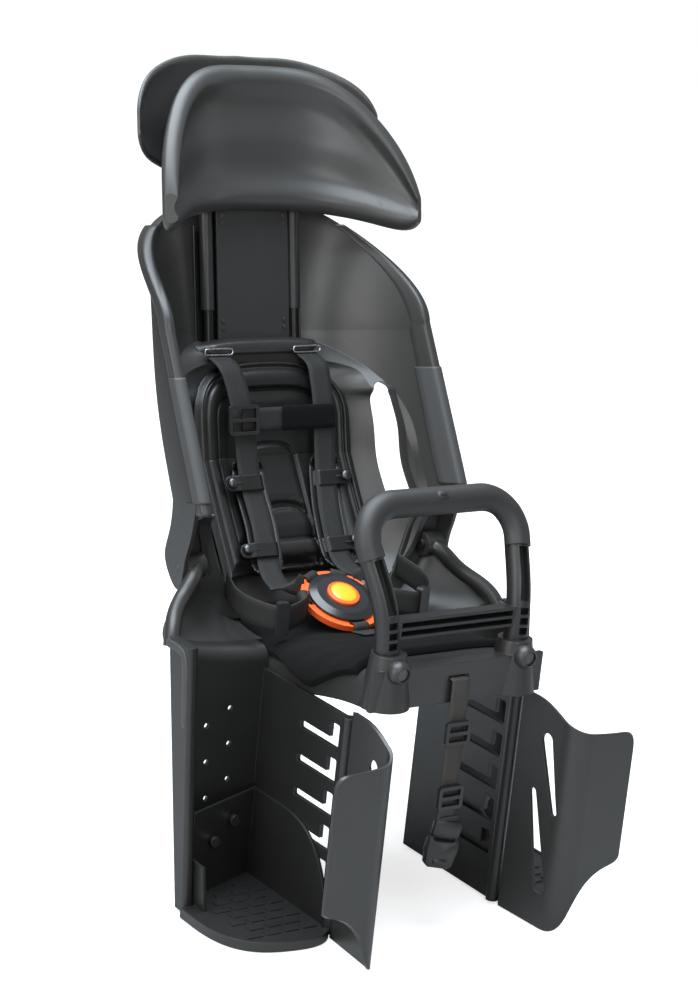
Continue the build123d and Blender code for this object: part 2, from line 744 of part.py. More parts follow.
screws = []
boss_end_d = HEADREST_CENTRE_D - HEADREST_DISH - HEADREST_SKIN
for x, h in SCREW_PLACES:
    place = Pos(x, 0, h)
    head_pad += place * along_depth(HEADREST_BOSS_RADIUS, 0.0, boss_end_d)
    head_cover += place * along_depth(HEADREST_BOSS_RADIUS, COVER_FRONT_D - COVER_WALL / 2, -PLATE_THICKNESS)
    hole = along_depth(HEADREST_SCREW_RADIUS + SCREW_CLEARANCE, -2 * THROUGH, boss_end_d)
    head_pad -= place * hole
    head_cover -= place * hole
    back_d = COVER_FRONT_D - COVER_WALL - HEADREST_SCREW_PLAY
    screw = along_depth(HEADREST_SCREW_RADIUS, back_d, boss_end_d - HEADREST_SCREW_PLAY)
    screw += along_depth(HEADREST_SCREW_HEAD_RADIUS, back_d - HEADREST_SCREW_HEAD, back_d)
    screws.append(place * screw)
NODES["headrest_pad"] = BACK * head_pad
NODES["headrest_cover"] = BACK * head_cover
NODES["headrest_screws"] = BACK * Compound(screws)


# Slide plate, its rivets, the posts with their sleeves and the height lock
def make_slide_plate():
    plate = extrude(RectangleRounded(PLATE_WIDTH, PLATE_TOP_H - PLATE_BOTTOM_H, RIVET_EDGE), PLATE_THICKNESS)
    plate = Pos(0, 0, (PLATE_TOP_H + PLATE_BOTTOM_H) / 2) * Rot(-90, 0, 0) * plate
    for x, h in SCREW_PLACES:
        hole = along_depth(HEADREST_SCREW_RADIUS + SCREW_CLEARANCE, -2 * THROUGH, 2 * THROUGH)
        plate -= Pos(x, 0, h) * hole
    return plate


def make_rivets():
    rivets = []
    for side in (-1, 1):
        for row in RIVET_ROWS_H:
            for step in (0, 1):
                x = side * (PLATE_WIDTH / 2 - RIVET_EDGE)
                rivet = along_depth(RIVET_RADIUS, 0.0, RIVET_HEAD)
                rivets.append(Pos(x, 0, row + step * RIVET_PITCH) * rivet)
    return Compound(rivets)


def post_bar(radius, low, high):
    return Pos(POST_X, -POST_CENTRE_D, (low + high) / 2) * Cylinder(radius, high - low)


def make_post_clamps():
    """Blocks behind the slide plate that hold the two posts."""
    width, depth, height = POST_CLAMP_SIZE
    clamps = []
    for h in POST_CLAMP_ROWS_H:
        block = Pos(POST_X - width / 2, depth / 2 + PLATE_THICKNESS, h) * Box(width, depth, height)
        block -= post_bar(SLEEVE_RADIUS + SEAT_CLEARANCE, SLEEVE_BOTTOM_H, SLEEVE_TOP_H)
        clamps += [block, mirrored(block)]
    return Compound(clamps)


def make_lock_housing(shell):
    front_d = -PLATE_THICKNESS - SLIDE_CLEARANCE
    width = LOCK_HOUSING_WIDTH
    housing = Pos(0, LOCK_HOUSING_DEPTH / 2 - front_d, LOCK_H)
    housing = housing * Box(width, LOCK_HOUSING_DEPTH, LOCK_HOUSING_HEIGHT)
    housing = fillet(housing.edges().filter_by(Axis.Z), LOCK_HOUSING_DEPTH / 4)
    for side in (-1, 1):
        flange = Box(LOCK_FLANGE_WIDTH, LOCK_HOUSING_DEPTH + LOCK_FLANGE_REACH, LOCK_HOUSING_HEIGHT)
        x = side * (width - LOCK_FLANGE_WIDTH) / 2
        housing += Pos(x, (LOCK_HOUSING_DEPTH - LOCK_FLANGE_REACH) / 2 - front_d, LOCK_H) * flange
    bore = post_bar(POST_RADIUS + SLIDE_CLEARANCE, LOCK_H - LOCK_HOUSING_HEIGHT, LOCK_H + LOCK_HOUSING_HEIGHT)
    housing = cut_all(housing, [bore, mirrored(bore)])
    well = Box(LOCK_BUTTON_WIDTH + SLIDE_CLEARANCE, FAR, LOCK_BUTTON_HEIGHT + SLIDE_CLEARANCE)
    housing -= Pos(0, 0, LOCK_H) * well
    levels = [LOCK_H + share * LOCK_HOUSING_HEIGHT for share in LOCK_ROOM_SECTIONS]
    behind = -SHELL_WALL - SEAT_CLEARANCE
    front = Solid.make_loft([back_strip(h, shell_width(h), behind, 2 * THROUGH) for h in levels])
    return largest(housing - front - shell)


def make_lock_button():
    front_d = -PLATE_THICKNESS - SLIDE_CLEARANCE - LOCK_TRAVEL
    rear_d = -PLATE_THICKNESS - SLIDE_CLEARANCE - LOCK_HOUSING_DEPTH - LOCK_BUTTON_PROUD
    depth = front_d - rear_d
    button = Pos(0, -(front_d + rear_d) / 2, LOCK_H) * Box(LOCK_BUTTON_WIDTH, depth, LOCK_BUTTON_HEIGHT)
    return fillet(button.faces().sort_by(Axis.Y)[-1].edges(), LOCK_BUTTON_PROUD / 3)


NODES["slide_plate"] = BACK * make_slide_plate()
NODES["slide_plate_rivets"] = BACK * make_rivets()
add_pair("post", BACK * post_bar(POST_RADIUS, POST_BOTTOM_H, SLEEVE_TOP_H))
sleeve = post_bar(SLEEVE_RADIUS, SLEEVE_BOTTOM_H, SLEEVE_TOP_H)
sleeve -= post_bar(POST_RADIUS, SLEEVE_BOTTOM_H, SLEEVE_TOP_H)
add_pair("post_sleeve", BACK * sleeve)
NODES["post_clamps"] = BACK * make_post_clamps()
NODES["height_lock_housing"] = BACK * make_lock_housing(SHELL_BODY)
NODES["height_lock_button"] = BACK * make_lock_button()


# Seat base: the pan with raised sides, the saddle between the legs, the apron and its sockets
def pan_width(y):
    return mix(LIP_X, LUG_X, smooth((y - PAN_FRONT_Y) / (LUG_Y - PAN_FRONT_Y)))


def pan_rim(y):
    if y <= LUG_Y:
        return mix(LIP_TOP_Z, LUG_Z, (y - PAN_FRONT_Y) / (LUG_Y - PAN_FRONT_Y))
    return mix(LUG_Z, PAN_REAR_RIM_Z, (y - LUG_Y) / (PAN_REAR_Y - LUG_Y))


def pan_height(x, y):
    """Height of the pan's top face."""
    return mix(PAN_CENTRE_Z, pan_rim(y), min(1.0, abs(x) / pan_width(y)) ** PAN_POWER)


def make_pan(steps=8):
    shares = [math.copysign(abs(i / steps) ** SECTION_CROWDING, i) for i in range(-steps, steps + 1)]
    rows = []
    for share in even_shares(5):
        y = mix(PAN_FRONT_Y, PAN_REAR_Y, share)
        top = [(pan_width(y) * s, pan_height(pan_width(y) * s, y)) for s in shares]
        under = offset_points(top, [-PAN_WALL] * len(top))
        rows.append(strip_wire(top, under, lambda a, b, c=y: Vector(a, c, b)))
    return Solid.make_loft(rows)


def saddle_top(y):
    return PAN_CENTRE_Z + SADDLE_RISE * smooth((PAN_FRONT_Y - y) / (PAN_FRONT_Y - SADDLE_FRONT_Y))


def saddle_point(y, turn_deg):
    """Point of the saddle's section: 90 degrees is its top, 0 and 180 are the feet of its sides."""
    c = math.cos(math.radians(turn_deg))
    s = math.sin(math.radians(turn_deg))
    x = math.copysign(SADDLE_HALF_WIDTH * abs(c) ** (2 / SADDLE_POWER), c)
    return x, saddle_top(y) - SADDLE_SKIRT * (1 - abs(s) ** (2 / SADDLE_POWER))


def saddle_strip(y, near, far, start_deg, steps=14):
    """Closed section between two offsets above the saddle's face, from start_deg to its mirror image."""
    turns = [mix(180 - start_deg, start_deg, i / steps) for i in range(steps + 1)]
    face = [saddle_point(y, turn) for turn in turns]
    over = offset_points(face, [far] * len(face))
    under = offset_points(face, [near] * len(face))
    return strip_wire(over, under, lambda a, b: Vector(a, y, b))


def make_saddle():
    ends = [mix(PAN_FRONT_Y + PAN_WALL, SADDLE_FRONT_Y, share) for share in even_shares(4)]
    return Solid.make_loft([saddle_strip(y, -PAN_WALL, 0.0, SADDLE_START_DEG) for y in ends])


def bar_frame_point(z):
    """Centre of the child's left post of the grab bar at height z."""
    if z <= BAR_BEND_Z:
        share = (z - BAR_BOTTOM_Z) / (BAR_BEND_Z - BAR_BOTTOM_Z)
        return Vector(mix(SOCKET_X, BAR_BEND_X, share), mix(SOCKET_Y, BAR_BEND_Y, share), z)
    share = (z - BAR_BEND_Z) / (BAR_TOP_Z - BAR_BEND_Z)
    return Vector(mix(BAR_BEND_X, BAR_TOP_X, share), mix(BAR_BEND_Y, BAR_TOP_Y, share), z)


SOCKET_RADIUS = BAR_RADIUS + SEAT_CLEARANCE + SOCKET_WALL
APRON_FRONT_Y = SADDLE_FRONT_Y - APRON_WALL
APRON_TOP_Z = PAN_CENTRE_Z + SADDLE_RISE
BOSS_Y = SOCKET_Y - SOCKET_RADIUS


def make_apron():
    height = APRON_TOP_Z - APRON_BOTTOM_Z
    apron = Pos(0, (SADDLE_FRONT_Y + APRON_FRONT_Y) / 2, APRON_BOTTOM_Z + height / 2)
    apron = apron * Box(2 * APRON_HALF_WIDTH, APRON_WALL, height)
    slot = Box(FRONT_STRAP_WIDTH + 2 * SLIDE_CLEARANCE, THROUGH, 3 * FRONT_STRAP_THICKNESS)
    return apron - Pos(0, SADDLE_FRONT_Y, FRONT_STRAP_TOP_Z) * slot


def make_socket():
    height = SOCKET_TOP_Z - APRON_BOTTOM_Z
    socket = Pos(SOCKET_X, SOCKET_Y, APRON_BOTTOM_Z + height / 2)
    socket = socket * Cone(SOCKET_RADIUS + SOCKET_FLARE, SOCKET_RADIUS, height)
    return socket + Pos(SOCKET_X, BOSS_Y, BOSS_Z) * Sphere(BOSS_RADIUS)


def make_rim():
    """Rolled edge of the pan on the child's left, from the lip up to the lug, and the lug itself."""
    out, forward, down = RIM_MIDDLE_SHARES
    path = Spline(
        (LUG_X - RIM_RADIUS / 2, LUG_Y, LUG_Z),
        (mix(LUG_X, LIP_X, out), mix(LUG_Y, PAN_FRONT_Y, forward), mix(LUG_Z, LIP_TOP_Z, down)),
        (LIP_X - LIP_WIDTH / 4, PAN_FRONT_Y - RIM_RADIUS, LIP_TOP_Z - RIM_RADIUS),
        tangents=((0.2, -0.8, 0), (0.2, -0.4, -1)),
    )
    rim = sweep(Plane(path @ 0, z_dir=path % 0) * Circle(RIM_RADIUS), path=path)
    length = EAR_INNER_X - SEAT_CLEARANCE - LUG_INNER_X
    lug = Pos(LUG_INNER_X + length / 2, LUG_Y, LUG_Z) * Rot(0, 90, 0) * Cylinder(LUG_RADIUS, length)
    return rim + lug


def make_seat_base():
    base = make_pan().fuse(make_saddle(), make_apron())
    for socket in (make_socket(), mirrored(make_socket())):
        base += socket
    for rim in (make_rim(), mirrored(make_rim())):
        base += rim
    tongue_top = on_back(0, SHELL_LUMBAR_D - SHELL_WALL, SHELL_BOTTOM_H).Z - SEAT_CLEARANCE
    tongue_rear = on_back(0, SHELL_LUMBAR_D - SHELL_WALL, SHELL_BOTTOM_H).Y
    tongue = Box(CARRIER_PAD_WIDTH, tongue_rear - PAN_REAR_Y + PAN_WALL, PAN_WALL)
    base += Pos(0, (tongue_rear + PAN_REAR_Y - PAN_WALL) / 2, tongue_top - PAN_WALL / 2) * tongue
    pad_height = PAN_CENTRE_Z - PAN_WALL / 2
    base += Pos(0, 0, pad_height / 2) * Box(CARRIER_PAD_WIDTH, CARRIER_PAD_LENGTH, pad_height)
    return base


def make_bar_path(end_z):
    """Middle line of the grab bar from one post, over the top, to the other."""
    half = [bar_frame_point(end_z)]
    radii = []
    if end_z < BAR_BEND_Z:
        half.append(bar_frame_point(BAR_BEND_Z))
        radii.append(BAR_BEND_RADIUS)
    half.append(bar_frame_point(BAR_TOP_Z))
    radii.append(BAR_CORNER_RADIUS)
    points = half + [Vector(-p.X, p.Y, p.Z) for p in half[::-1]]
    return FilletPolyline(*points, radius=radii + radii[::-1])


def make_bar_tube(path, outer):
    return sweep(Plane(path @ 0, z_dir=path % 0) * Circle(outer), path=path)


def make_bar_pockets():
    """Open pockets down the front of the child's left post, split by ribs level with the crossbar."""
    levels = [SOCKET_TOP_Z + CROSSBAR_RIB, CROSSBAR_BOTTOM_Z]
    levels += [CROSSBAR_BOTTOM_Z + CROSSBAR_HEIGHT * share for share in even_shares(2)[1:]]
    levels += [GRIP_END_Z]
    pockets = []
    for low, high in zip(levels, levels[1:]):
        foot = bar_frame_point(low + CROSSBAR_RIB / 2)
        head = bar_frame_point(high - CROSSBAR_RIB / 2)
        run = head - foot
        plane = Plane((foot + head) / 2, x_dir=(1, 0, 0), z_dir=run)
        pocket = Box(POCKET_WIDTH, 2 * POCKET_DEPTH, run.length)
        pockets.append(plane * Pos(0, -BAR_RADIUS, 0) * pocket)
    return pockets


def make_crossbar():
    middle = CROSSBAR_BOTTOM_Z + CROSSBAR_HEIGHT / 2
    post = bar_frame_point(middle)
    bar = Box(2 * post.X, CROSSBAR_DEPTH, CROSSBAR_HEIGHT)
    groove_height = (CROSSBAR_HEIGHT - 3 * CROSSBAR_RIB) / 2
    groove = Box(2 * (post.X - BAR_RADIUS), CROSSBAR_DEPTH, groove_height)
    for side in (-1, 1):
        bar -= Pos(0, -CROSSBAR_RIB, side * (groove_height + CROSSBAR_RIB) / 2) * groove
    return Pos(0, post.Y, middle) * bar


def make_grab_bar():
    bar = make_bar_tube(make_bar_path(BAR_BOTTOM_Z), BAR_RADIUS) + make_crossbar()
    for pocket in make_bar_pockets():
        bar -= pocket
        bar -= mirrored(pocket)
    return bar


def make_grip():
    """Soft cover over the front half of the bar's loop."""
    path = make_bar_path(GRIP_END_Z)
    start = Plane(path @ 0, x_dir=(1, 0, 0), z_dir=path % 0)
    ring = Circle(BAR_RADIUS + GRIP_WALL) - Circle(BAR_RADIUS + SEAT_CLEARANCE / 3)
    front = ring & Pos(0, -BAR_RADIUS) * Rectangle(4 * BAR_RADIUS, 2 * BAR_RADIUS)
    return sweep(start * front, path=path)


def make_boss_screws(extra=0.0, well=0.0):
    """Socket screws that fix the posts, sunk in the round bosses and run into the bar."""
    length = SOCKET_WALL + BOSS_RADIUS
    head_y = BOSS_SCREW_RECESS - BOSS_RADIUS
    screws = []
    for side in (-1, 1):
        head = Pos(0, head_y - well / 2, 0) * Rot(90, 0, 0)
        head = head * Cylinder(BOSS_SCREW_RADIUS + extra, 2 * BOSS_SCREW_HEAD + well)
        shank = Pos(0, head_y + length / 2, 0) * Rot(90, 0, 0)
        shank = shank * Cylinder(BOSS_SCREW_RADIUS / 2 + extra, length)
        screws.append(Pos(side * SOCKET_X, BOSS_Y, BOSS_Z) * (head + shank))
    return screws


def make_lug_bolts(extra=0.0):
    """Bolts through the lugs into the backrest's ears."""
    rear = EAR_INNER_X + EAR_WALL
    shank = Pos((LUG_INNER_X + rear) / 2, LUG_Y, LUG_Z) * Rot(0, 90, 0)
    shank = shank * Cylinder(LUG_BOLT_RADIUS + extra, rear - LUG_INNER_X)
    head = Pos(LUG_INNER_X - LUG_BOLT_HEAD / 2, LUG_Y, LUG_Z) * Rot(0, 90, 0)
    bolt = shank + head * Cylinder(LUG_BOLT_HEAD_RADIUS + extra, LUG_BOLT_HEAD)
    return [bolt, mirrored(bolt)]


bar_room = make_bar_tube(make_bar_path(BAR_BOTTOM_Z), BAR_RADIUS + SEAT_CLEARANCE)
base = cut_all(make_seat_base(), [bar_room] + make_boss_screws(SCREW_CLEARANCE, BOSS_RADIUS))
base = cut_all(base, make_lug_bolts(SCREW_CLEARANCE))
for place in GridLocations(CARRIER_HOLE_SPACING_X, CARRIER_HOLE_SPACING_Y, 2, 2):
    base -= place * Cylinder(CARRIER_HOLE_RADIUS, THROUGH)
base = largest(base - BACK * SHELL_BODY)
NODES["seat_base"] = base
NODES["backrest_shell"] = cut_all(BACK * SHELL_BODY, make_lug_bolts(SCREW_CLEARANCE))
NODES["back_bolts"] = Compound(make_lug_bolts())
NODES["grab_bar"] = cut_all(make_grab_bar(), make_boss_screws(SCREW_CLEARANCE))
NODES["grab_bar_grip"] = make_grip()
NODES["grab_bar_screws"] = Compound(make_boss_screws())


# Leg guards: an inner wall with locking slots, a rear wall with a rounded shoulder, and an outer lip
GUARD_INNER_X = SADDLE_HALF_WIDTH + SEAT_CLEARANCE


def rear_wall_y(x, z):
    """Front face of the leg guard's rear wall."""
    share = (x - GUARD_INNER_X) / (LIP_X - GUARD_INNER_X)
    drop = (LIP_TOP_Z - z) / (LIP_TOP_Z - GUARD_BOTTOM_Z)
    return GUARD_REAR_Y + share * mix(GUARD_REAR_TOP_SHIFT, GUARD_REAR_BOTTOM_SHIFT, drop)


def rear_wall_wire(x):
    """Side section of the rear wall at x: from the pan's front edge over the shoulder and down."""
    top = pan_height(x, PAN_FRONT_Y)
    start = PAN_FRONT_Y - SEAT_CLEARANCE
    bend = top - GUARD_SHOULDER
    wall = rear_wall_y(x, bend)
    foot = rear_wall_y(x, GUARD_BOTTOM_Z)
    bow = math.sqrt(0.5)

    def turn(radius):
        return Vector(x, wall + GUARD_SHOULDER - radius * bow, bend + radius * bow)

    inner = GUARD_SHOULDER - GUARD_WALL
    outside = [Vector(x, wall + GUARD_SHOULDER, top), Vector(x, wall, bend)]
    inside = [Vector(x, wall + GUARD_SHOULDER, top - GUARD_WALL), Vector(x, wall + GUARD_WALL, bend)]
    ends = [Vector(x, start, top), Vector(x, start, top - GUARD_WALL)]
    feet = [Vector(x, foot, GUARD_BOTTOM_Z), Vector(x, foot + GUARD_WALL, GUARD_BOTTOM_Z)]
    return Wire(
        [
            Edge.make_line(ends[0], outside[0]),
            Edge.make_three_point_arc(outside[0], turn(GUARD_SHOULDER), outside[1]),
            Edge.make_line(outside[1], feet[0]),
            Edge.make_line(feet[0], feet[1]),
            Edge.make_line(feet[1], inside[1]),
            Edge.make_three_point_arc(inside[1], turn(inner), inside[0]),
            Edge.make_line(inside[0], ends[1]),
            Edge.make_line(ends[1], ends[0]),
        ]
    )


def lip_wire(z, extra=0.0):
    """Level section of the outer lip, a rounded wall that reaches forward from the rear wall."""
    drop = (LIP_TOP_Z - z) / (LIP_TOP_Z - GUARD_BOTTOM_Z)
    depth = mix(LIP_TOP_DEPTH, LIP_BOTTOM_DEPTH, drop) + GUARD_WALL
    centre = rear_wall_y(LIP_X, z) + GUARD_WALL - depth / 2
    plane = Plane((LIP_X, centre, z))
    sketch = plane * RectangleRounded(LIP_WIDTH + 2 * extra, depth + 2 * extra, LIP_CORNER)
    return sketch.faces()[0].outer_wire()


def make_inner_wall():
    low = (GUARD_REAR_Y + GUARD_WALL, GUARD_BOTTOM_Z)
    outline = Polyline(
        low,
        (GUARD_FRONT_Y, GUARD_BOTTOM_Z),
        (GUARD_FRONT_Y, GUARD_TOP_Z),
        (GUARD_REAR_Y + GUARD_WALL, GUARD_TOP_Z),
        close=True,
    )
    wall = make_face(outline)
    for i in range(SLOT_COUNT):
        z = SLOT_FIRST_Z - i * SLOT_PITCH
        slot = RectangleRounded(SLOT_LENGTH, SLOT_WIDTH, SLOT_WIDTH / 4)
        slot = Pos(SLOT_FRONT_Y + SLOT_LENGTH / 2, z) * slot
        leg_z = z + (SLOT_LEG_HEIGHT - SLOT_WIDTH) / 2
        leg = Pos(SLOT_FRONT_Y + SLOT_LEG_WIDTH / 2, leg_z)
        wall -= slot + leg * RectangleRounded(SLOT_LEG_WIDTH, SLOT_LEG_HEIGHT, SLOT_WIDTH / 4)
    return Pos(GUARD_INNER_X, 0, 0) * extrude(Plane.YZ * wall, GUARD_WALL)


def rear_holes(radius, length, rows):
    """Bars square to the front view through the rear wall's hole columns."""
    holes = []
    for x, first_z in REAR_HOLE_COLUMNS:
        for row in rows:
            z = first_z - row * REAR_HOLE_PITCH
            hole = Rot(90, 0, 0) * Cylinder(radius, length)
            holes.append(Pos(x, rear_wall_y(x, z), z) * hole)
    return holes


def make_leg_guard():
    stations = [mix(GUARD_INNER_X, LIP_X, share) for share in GUARD_SECTIONS]
    wall = Solid.make_loft([rear_wall_wire(x) for x in stations])
    lip_levels = [LIP_TOP_Z + GUARD_WALL, mix(LIP_TOP_Z, GUARD_BOTTOM_Z, 0.5), GUARD_BOTTOM_Z]
    guard = wall.fuse(Solid.make_loft([lip_wire(z) for z in lip_levels]), make_inner_wall())
    rib_height = GUARD_TOP_Z - GUARD_BOTTOM_Z
    rib = Pos(GUARD_INNER_X + GUARD_WALL / 2, GUARD_FRONT_Y, GUARD_BOTTOM_Z + rib_height / 2)
    guard += rib * Cylinder(RIB_RADIUS, rib_height)
    return cut_all(guard, rear_holes(REAR_HOLE_RADIUS, 6 * GUARD_WALL, range(REAR_HOLE_ROWS + 1)))


def make_lip_pad(guard):
    """Soft cap over the upper front of the lip."""
    levels = [LIP_TOP_Z + GUARD_WALL / 2, LIP_PAD_BOTTOM_Z]
    cap = Solid.make_loft([lip_wire(z, LIP_PAD_WALL) for z in levels])
    front = Box(4 * LIP_WIDTH, LIP_TOP_DEPTH, FAR)
    cut = Pos(LIP_X, rear_wall_y(LIP_X, 0) - LIP_TOP_DEPTH, 0) * front
    return (cap & cut) - guard


leg_guard = make_leg_guard() - make_rim()
add_pair("leg_guard", leg_guard)
add_pair("lip_pad", make_lip_pad(leg_guard))


# Front guards: a panel in line with the inner wall that folds outward into a flap
def guard_fold_line():
    start_y = GUARD_FRONT_Y - RIB_RADIUS - SEAT_CLEARANCE
    start_x = GUARD_INNER_X + FRONT_GUARD_WALL / 2
    return (
        (start_x, start_y),
        (start_x + FRONT_GUARD_SPREAD, FRONT_GUARD_FLAP_Y + FRONT_GUARD_WALL),
        (FRONT_GUARD_FLAP_X, FRONT_GUARD_FLAP_Y),
    )


def make_front_guard():
    line = FilletPolyline(*guard_fold_line(), radius=FRONT_GUARD_FOLD_RADIUS)
    sheet = make_face(offset(line, FRONT_GUARD_WALL, side=Side.LEFT))
    height = FRONT_GUARD_TOP_Z - FRONT_GUARD_BOTTOM_Z
    guard = Pos(0, 0, FRONT_GUARD_BOTTOM_Z) * extrude(sheet, height)
    corner_x, corner_y = guard_fold_line()[1]
    panel_length = guard_fold_line()[0][1] - corner_y
    flap_length = FRONT_GUARD_FLAP_X - corner_x
    slant = Plane((corner_x, corner_y, 0), x_dir=(1, -1, 0), z_dir=(-1, -1, 0))
    unit = math.sqrt(0.5)
    rear = -panel_length * unit - FRONT_GUARD_OVERRUN
    free = flap_length * unit + FRONT_GUARD_OVERRUN
    fold = FRONT_GUARD_FOLD_RADIUS / 2
    top = FRONT_GUARD_TOP_Z
    outline = Polyline((rear, FRONT_GUARD_BOTTOM_Z), (rear, top), (rear + fold, top))
    outline += Spline(
        (rear + fold, top),
        (-fold, top - FRONT_GUARD_TOP_BOW),
        (free - fold, top - FRONT_GUARD_TOP_DROP),
        tangents=((1, 0), (1, 0)),
    )
    outline += Spline(
        (free - fold, top - FRONT_GUARD_TOP_DROP),
        (free, top - 2 * FRONT_GUARD_TOP_DROP),
        tangents=((1, 0), (0, -1)),
    )
    outline += Line((free, top - 2 * FRONT_GUARD_TOP_DROP), (free, FRONT_GUARD_FLAP_BOTTOM_Z))
    outline += Spline(
        (free, FRONT_GUARD_FLAP_BOTTOM_Z),
        (free - fold, FRONT_GUARD_FLAP_BOTTOM_Z - fold),
        (fold, FRONT_GUARD_BOTTOM_Z + 2 * fold),
        (-fold, FRONT_GUARD_BOTTOM_Z),
        tangents=((0, -1), (-1, 0)),
    )
    outline += Line((-fold, FRONT_GUARD_BOTTOM_Z), (rear, FRONT_GUARD_BOTTOM_Z))
    guard = guard & extrude(slant * make_face(outline), FAR, both=True)
    for (top, bottom, top_radius, bottom_radius) in FRONT_GUARD_HOLES:
        ends = (Pos(*top) * Circle(top_radius), Pos(*bottom) * Circle(bottom_radius))
        window = make_hull([end.edge() for end in ends])
        guard -= extrude(Plane.YZ * make_face(window), GUARD_INNER_X + 2 * FRONT_GUARD_FOLD_RADIUS)
    return guard


add_pair("front_guard", make_front_guard())


# Foot trays: a treaded floor with a rolled rim, an inner wall, a rear wall and a short outer tab
def tray_rear_y(x):
    return rear_wall_y(x, GUARD_BOTTOM_Z) - SEAT_CLEARANCE - TRAY_REAR_GAP


TRAY_INNER_X = GUARD_INNER_X + GUARD_WALL + SEAT_CLEARANCE
TRAY_TAB_X = LIP_X - LIP_WIDTH / 2 - SEAT_CLEARANCE


def tray_face(inset):
    """Plan of the tray's floor, drawn in by an inset."""
    inner = TRAY_INNER_X + inset
    outer = TRAY_OUTER_X - inset
    notch = TRAY_TAB_X - inset
    corner = (inner, TRAY_FRONT_Y + TRAY_RIM + inset)
    side = (outer, mix(tray_rear_y(TRAY_OUTER_X), TRAY_FRONT_Y, TRAY_SIDE_SHARE))
    front = (mix(TRAY_INNER_X, TRAY_OUTER_X, TRAY_NOSE_SHARE), TRAY_FRONT_Y - TRAY_RIM / 2 + inset)
    lip_front = rear_wall_y(LIP_X, GUARD_BOTTOM_Z) - LIP_BOTTOM_DEPTH - SLIDE_CLEARANCE - inset
    outline = Polyline(
        corner,
        (inner, tray_rear_y(inner) - inset),
        (notch, tray_rear_y(notch) - inset),
        (notch, lip_front),
        (outer, lip_front),
        side,
    )
    outline += Spline(side, front, corner, tangents=((0, -1), (-0.6, 0.8)))
    return make_face(outline)


def make_tray_floor():
    floor = Pos(0, 0, TRAY_FLOOR_Z - TRAY_WALL) * extrude(tray_face(0.0), TRAY_WALL)
    rim = tray_face(0.0) - tray_face(TRAY_WALL)
    return floor + Pos(0, 0, TRAY_FLOOR_Z - TRAY_RIM) * extrude(rim, TRAY_RIM + TREAD_HEIGHT)


def make_tray_treads():
    """Raised pads in a brick pattern on the tray's floor."""
    treads = []
    length = tray_rear_y(TRAY_INNER_X) - TRAY_FRONT_Y - TREAD_FRONT_MARGIN - TREAD_REAR_MARGIN
    for row in range(int(length / TREAD_PITCH_Y)):
        y = TRAY_FRONT_Y + TREAD_FRONT_MARGIN + row * TREAD_PITCH_Y
        for column in range(TREAD_COLUMNS):
            x = TRAY_INNER_X + TREAD_SIDE_MARGIN + TREAD_PITCH_X * (column + (row % 2) / 2)
            inside = y < tray_rear_y(x) - TREAD_LENGTH and x < TRAY_TAB_X - TREAD_LENGTH
            if inside:
                pad = Box(TREAD_LENGTH, TREAD_WIDTH, 2 * TREAD_HEIGHT)
                treads.append(Pos(x, y, TRAY_FLOOR_Z) * pad)
    return treads


def make_tray():
    tray = make_tray_floor()
    height = TRAY_WALL_TOP_Z - TRAY_FLOOR_Z
    rear_y = tray_rear_y(TRAY_INNER_X)
    knee_y = mix(rear_y, TRAY_FRONT_Y, TRAY_KNEE_SHARE)
    side = Polyline((knee_y, TRAY_WALL_TOP_Z), (rear_y, TRAY_WALL_TOP_Z), (rear_y, TRAY_FLOOR_Z - TRAY_WALL))
    side += Line((rear_y, TRAY_FLOOR_Z - TRAY_WALL), (TRAY_FRONT_Y + TRAY_RIM, TRAY_FLOOR_Z - TRAY_WALL))
    side += Spline(
        (TRAY_FRONT_Y + TRAY_RIM, TRAY_FLOOR_Z - TRAY_WALL),
        (knee_y, TRAY_WALL_TOP_Z),
        tangents=((0.25, 1), (1, 0)),
    )
    tray += Pos(TRAY_INNER_X, 0, 0) * extrude(Plane.YZ * make_face(side), TRAY_WALL)
    rear = Polyline(
        (TRAY_INNER_X, rear_y),
        (TRAY_TAB_X, tray_rear_y(TRAY_TAB_X)),
        (TRAY_TAB_X, tray_rear_y(TRAY_TAB_X) - TRAY_WALL),
        (TRAY_INNER_X, rear_y - TRAY_WALL),
        close=True,
    )
    tray += Pos(0, 0, TRAY_FLOOR_Z - TRAY_WALL) * extrude(make_face(rear), height + TRAY_WALL)
    tab_front = rear_wall_y(LIP_X, GUARD_BOTTOM_Z) - LIP_BOTTOM_DEPTH - 2 * TRAY_RIM
    tab = Polyline(
        (tab_front, TRAY_FLOOR_Z),
        (tab_front + TRAY_RIM, TRAY_FLOOR_Z + TRAY_TAB_HEIGHT),
        (tray_rear_y(TRAY_TAB_X), TRAY_FLOOR_Z + TRAY_TAB_HEIGHT),
        (tray_rear_y(TRAY_TAB_X), TRAY_FLOOR_Z),
        close=True,
    )
    tray += Pos(TRAY_TAB_X - TRAY_WALL, 0, 0) * extrude(Plane.YZ * make_face(tab), TRAY_WALL)
    tray = tray.fuse(*make_tray_treads())
    rib_room = Cylinder(RIB_RADIUS + SEAT_CLEARANCE, FAR)
    tray -= Pos(GUARD_INNER_X + GUARD_WALL / 2, GUARD_FRONT_Y, 0) * rib_room
    return cut_all(tray, rear_holes(TRAY_SCREW_SHANK_RADIUS + SCREW_CLEARANCE, THROUGH, [REAR_HOLE_ROWS]))


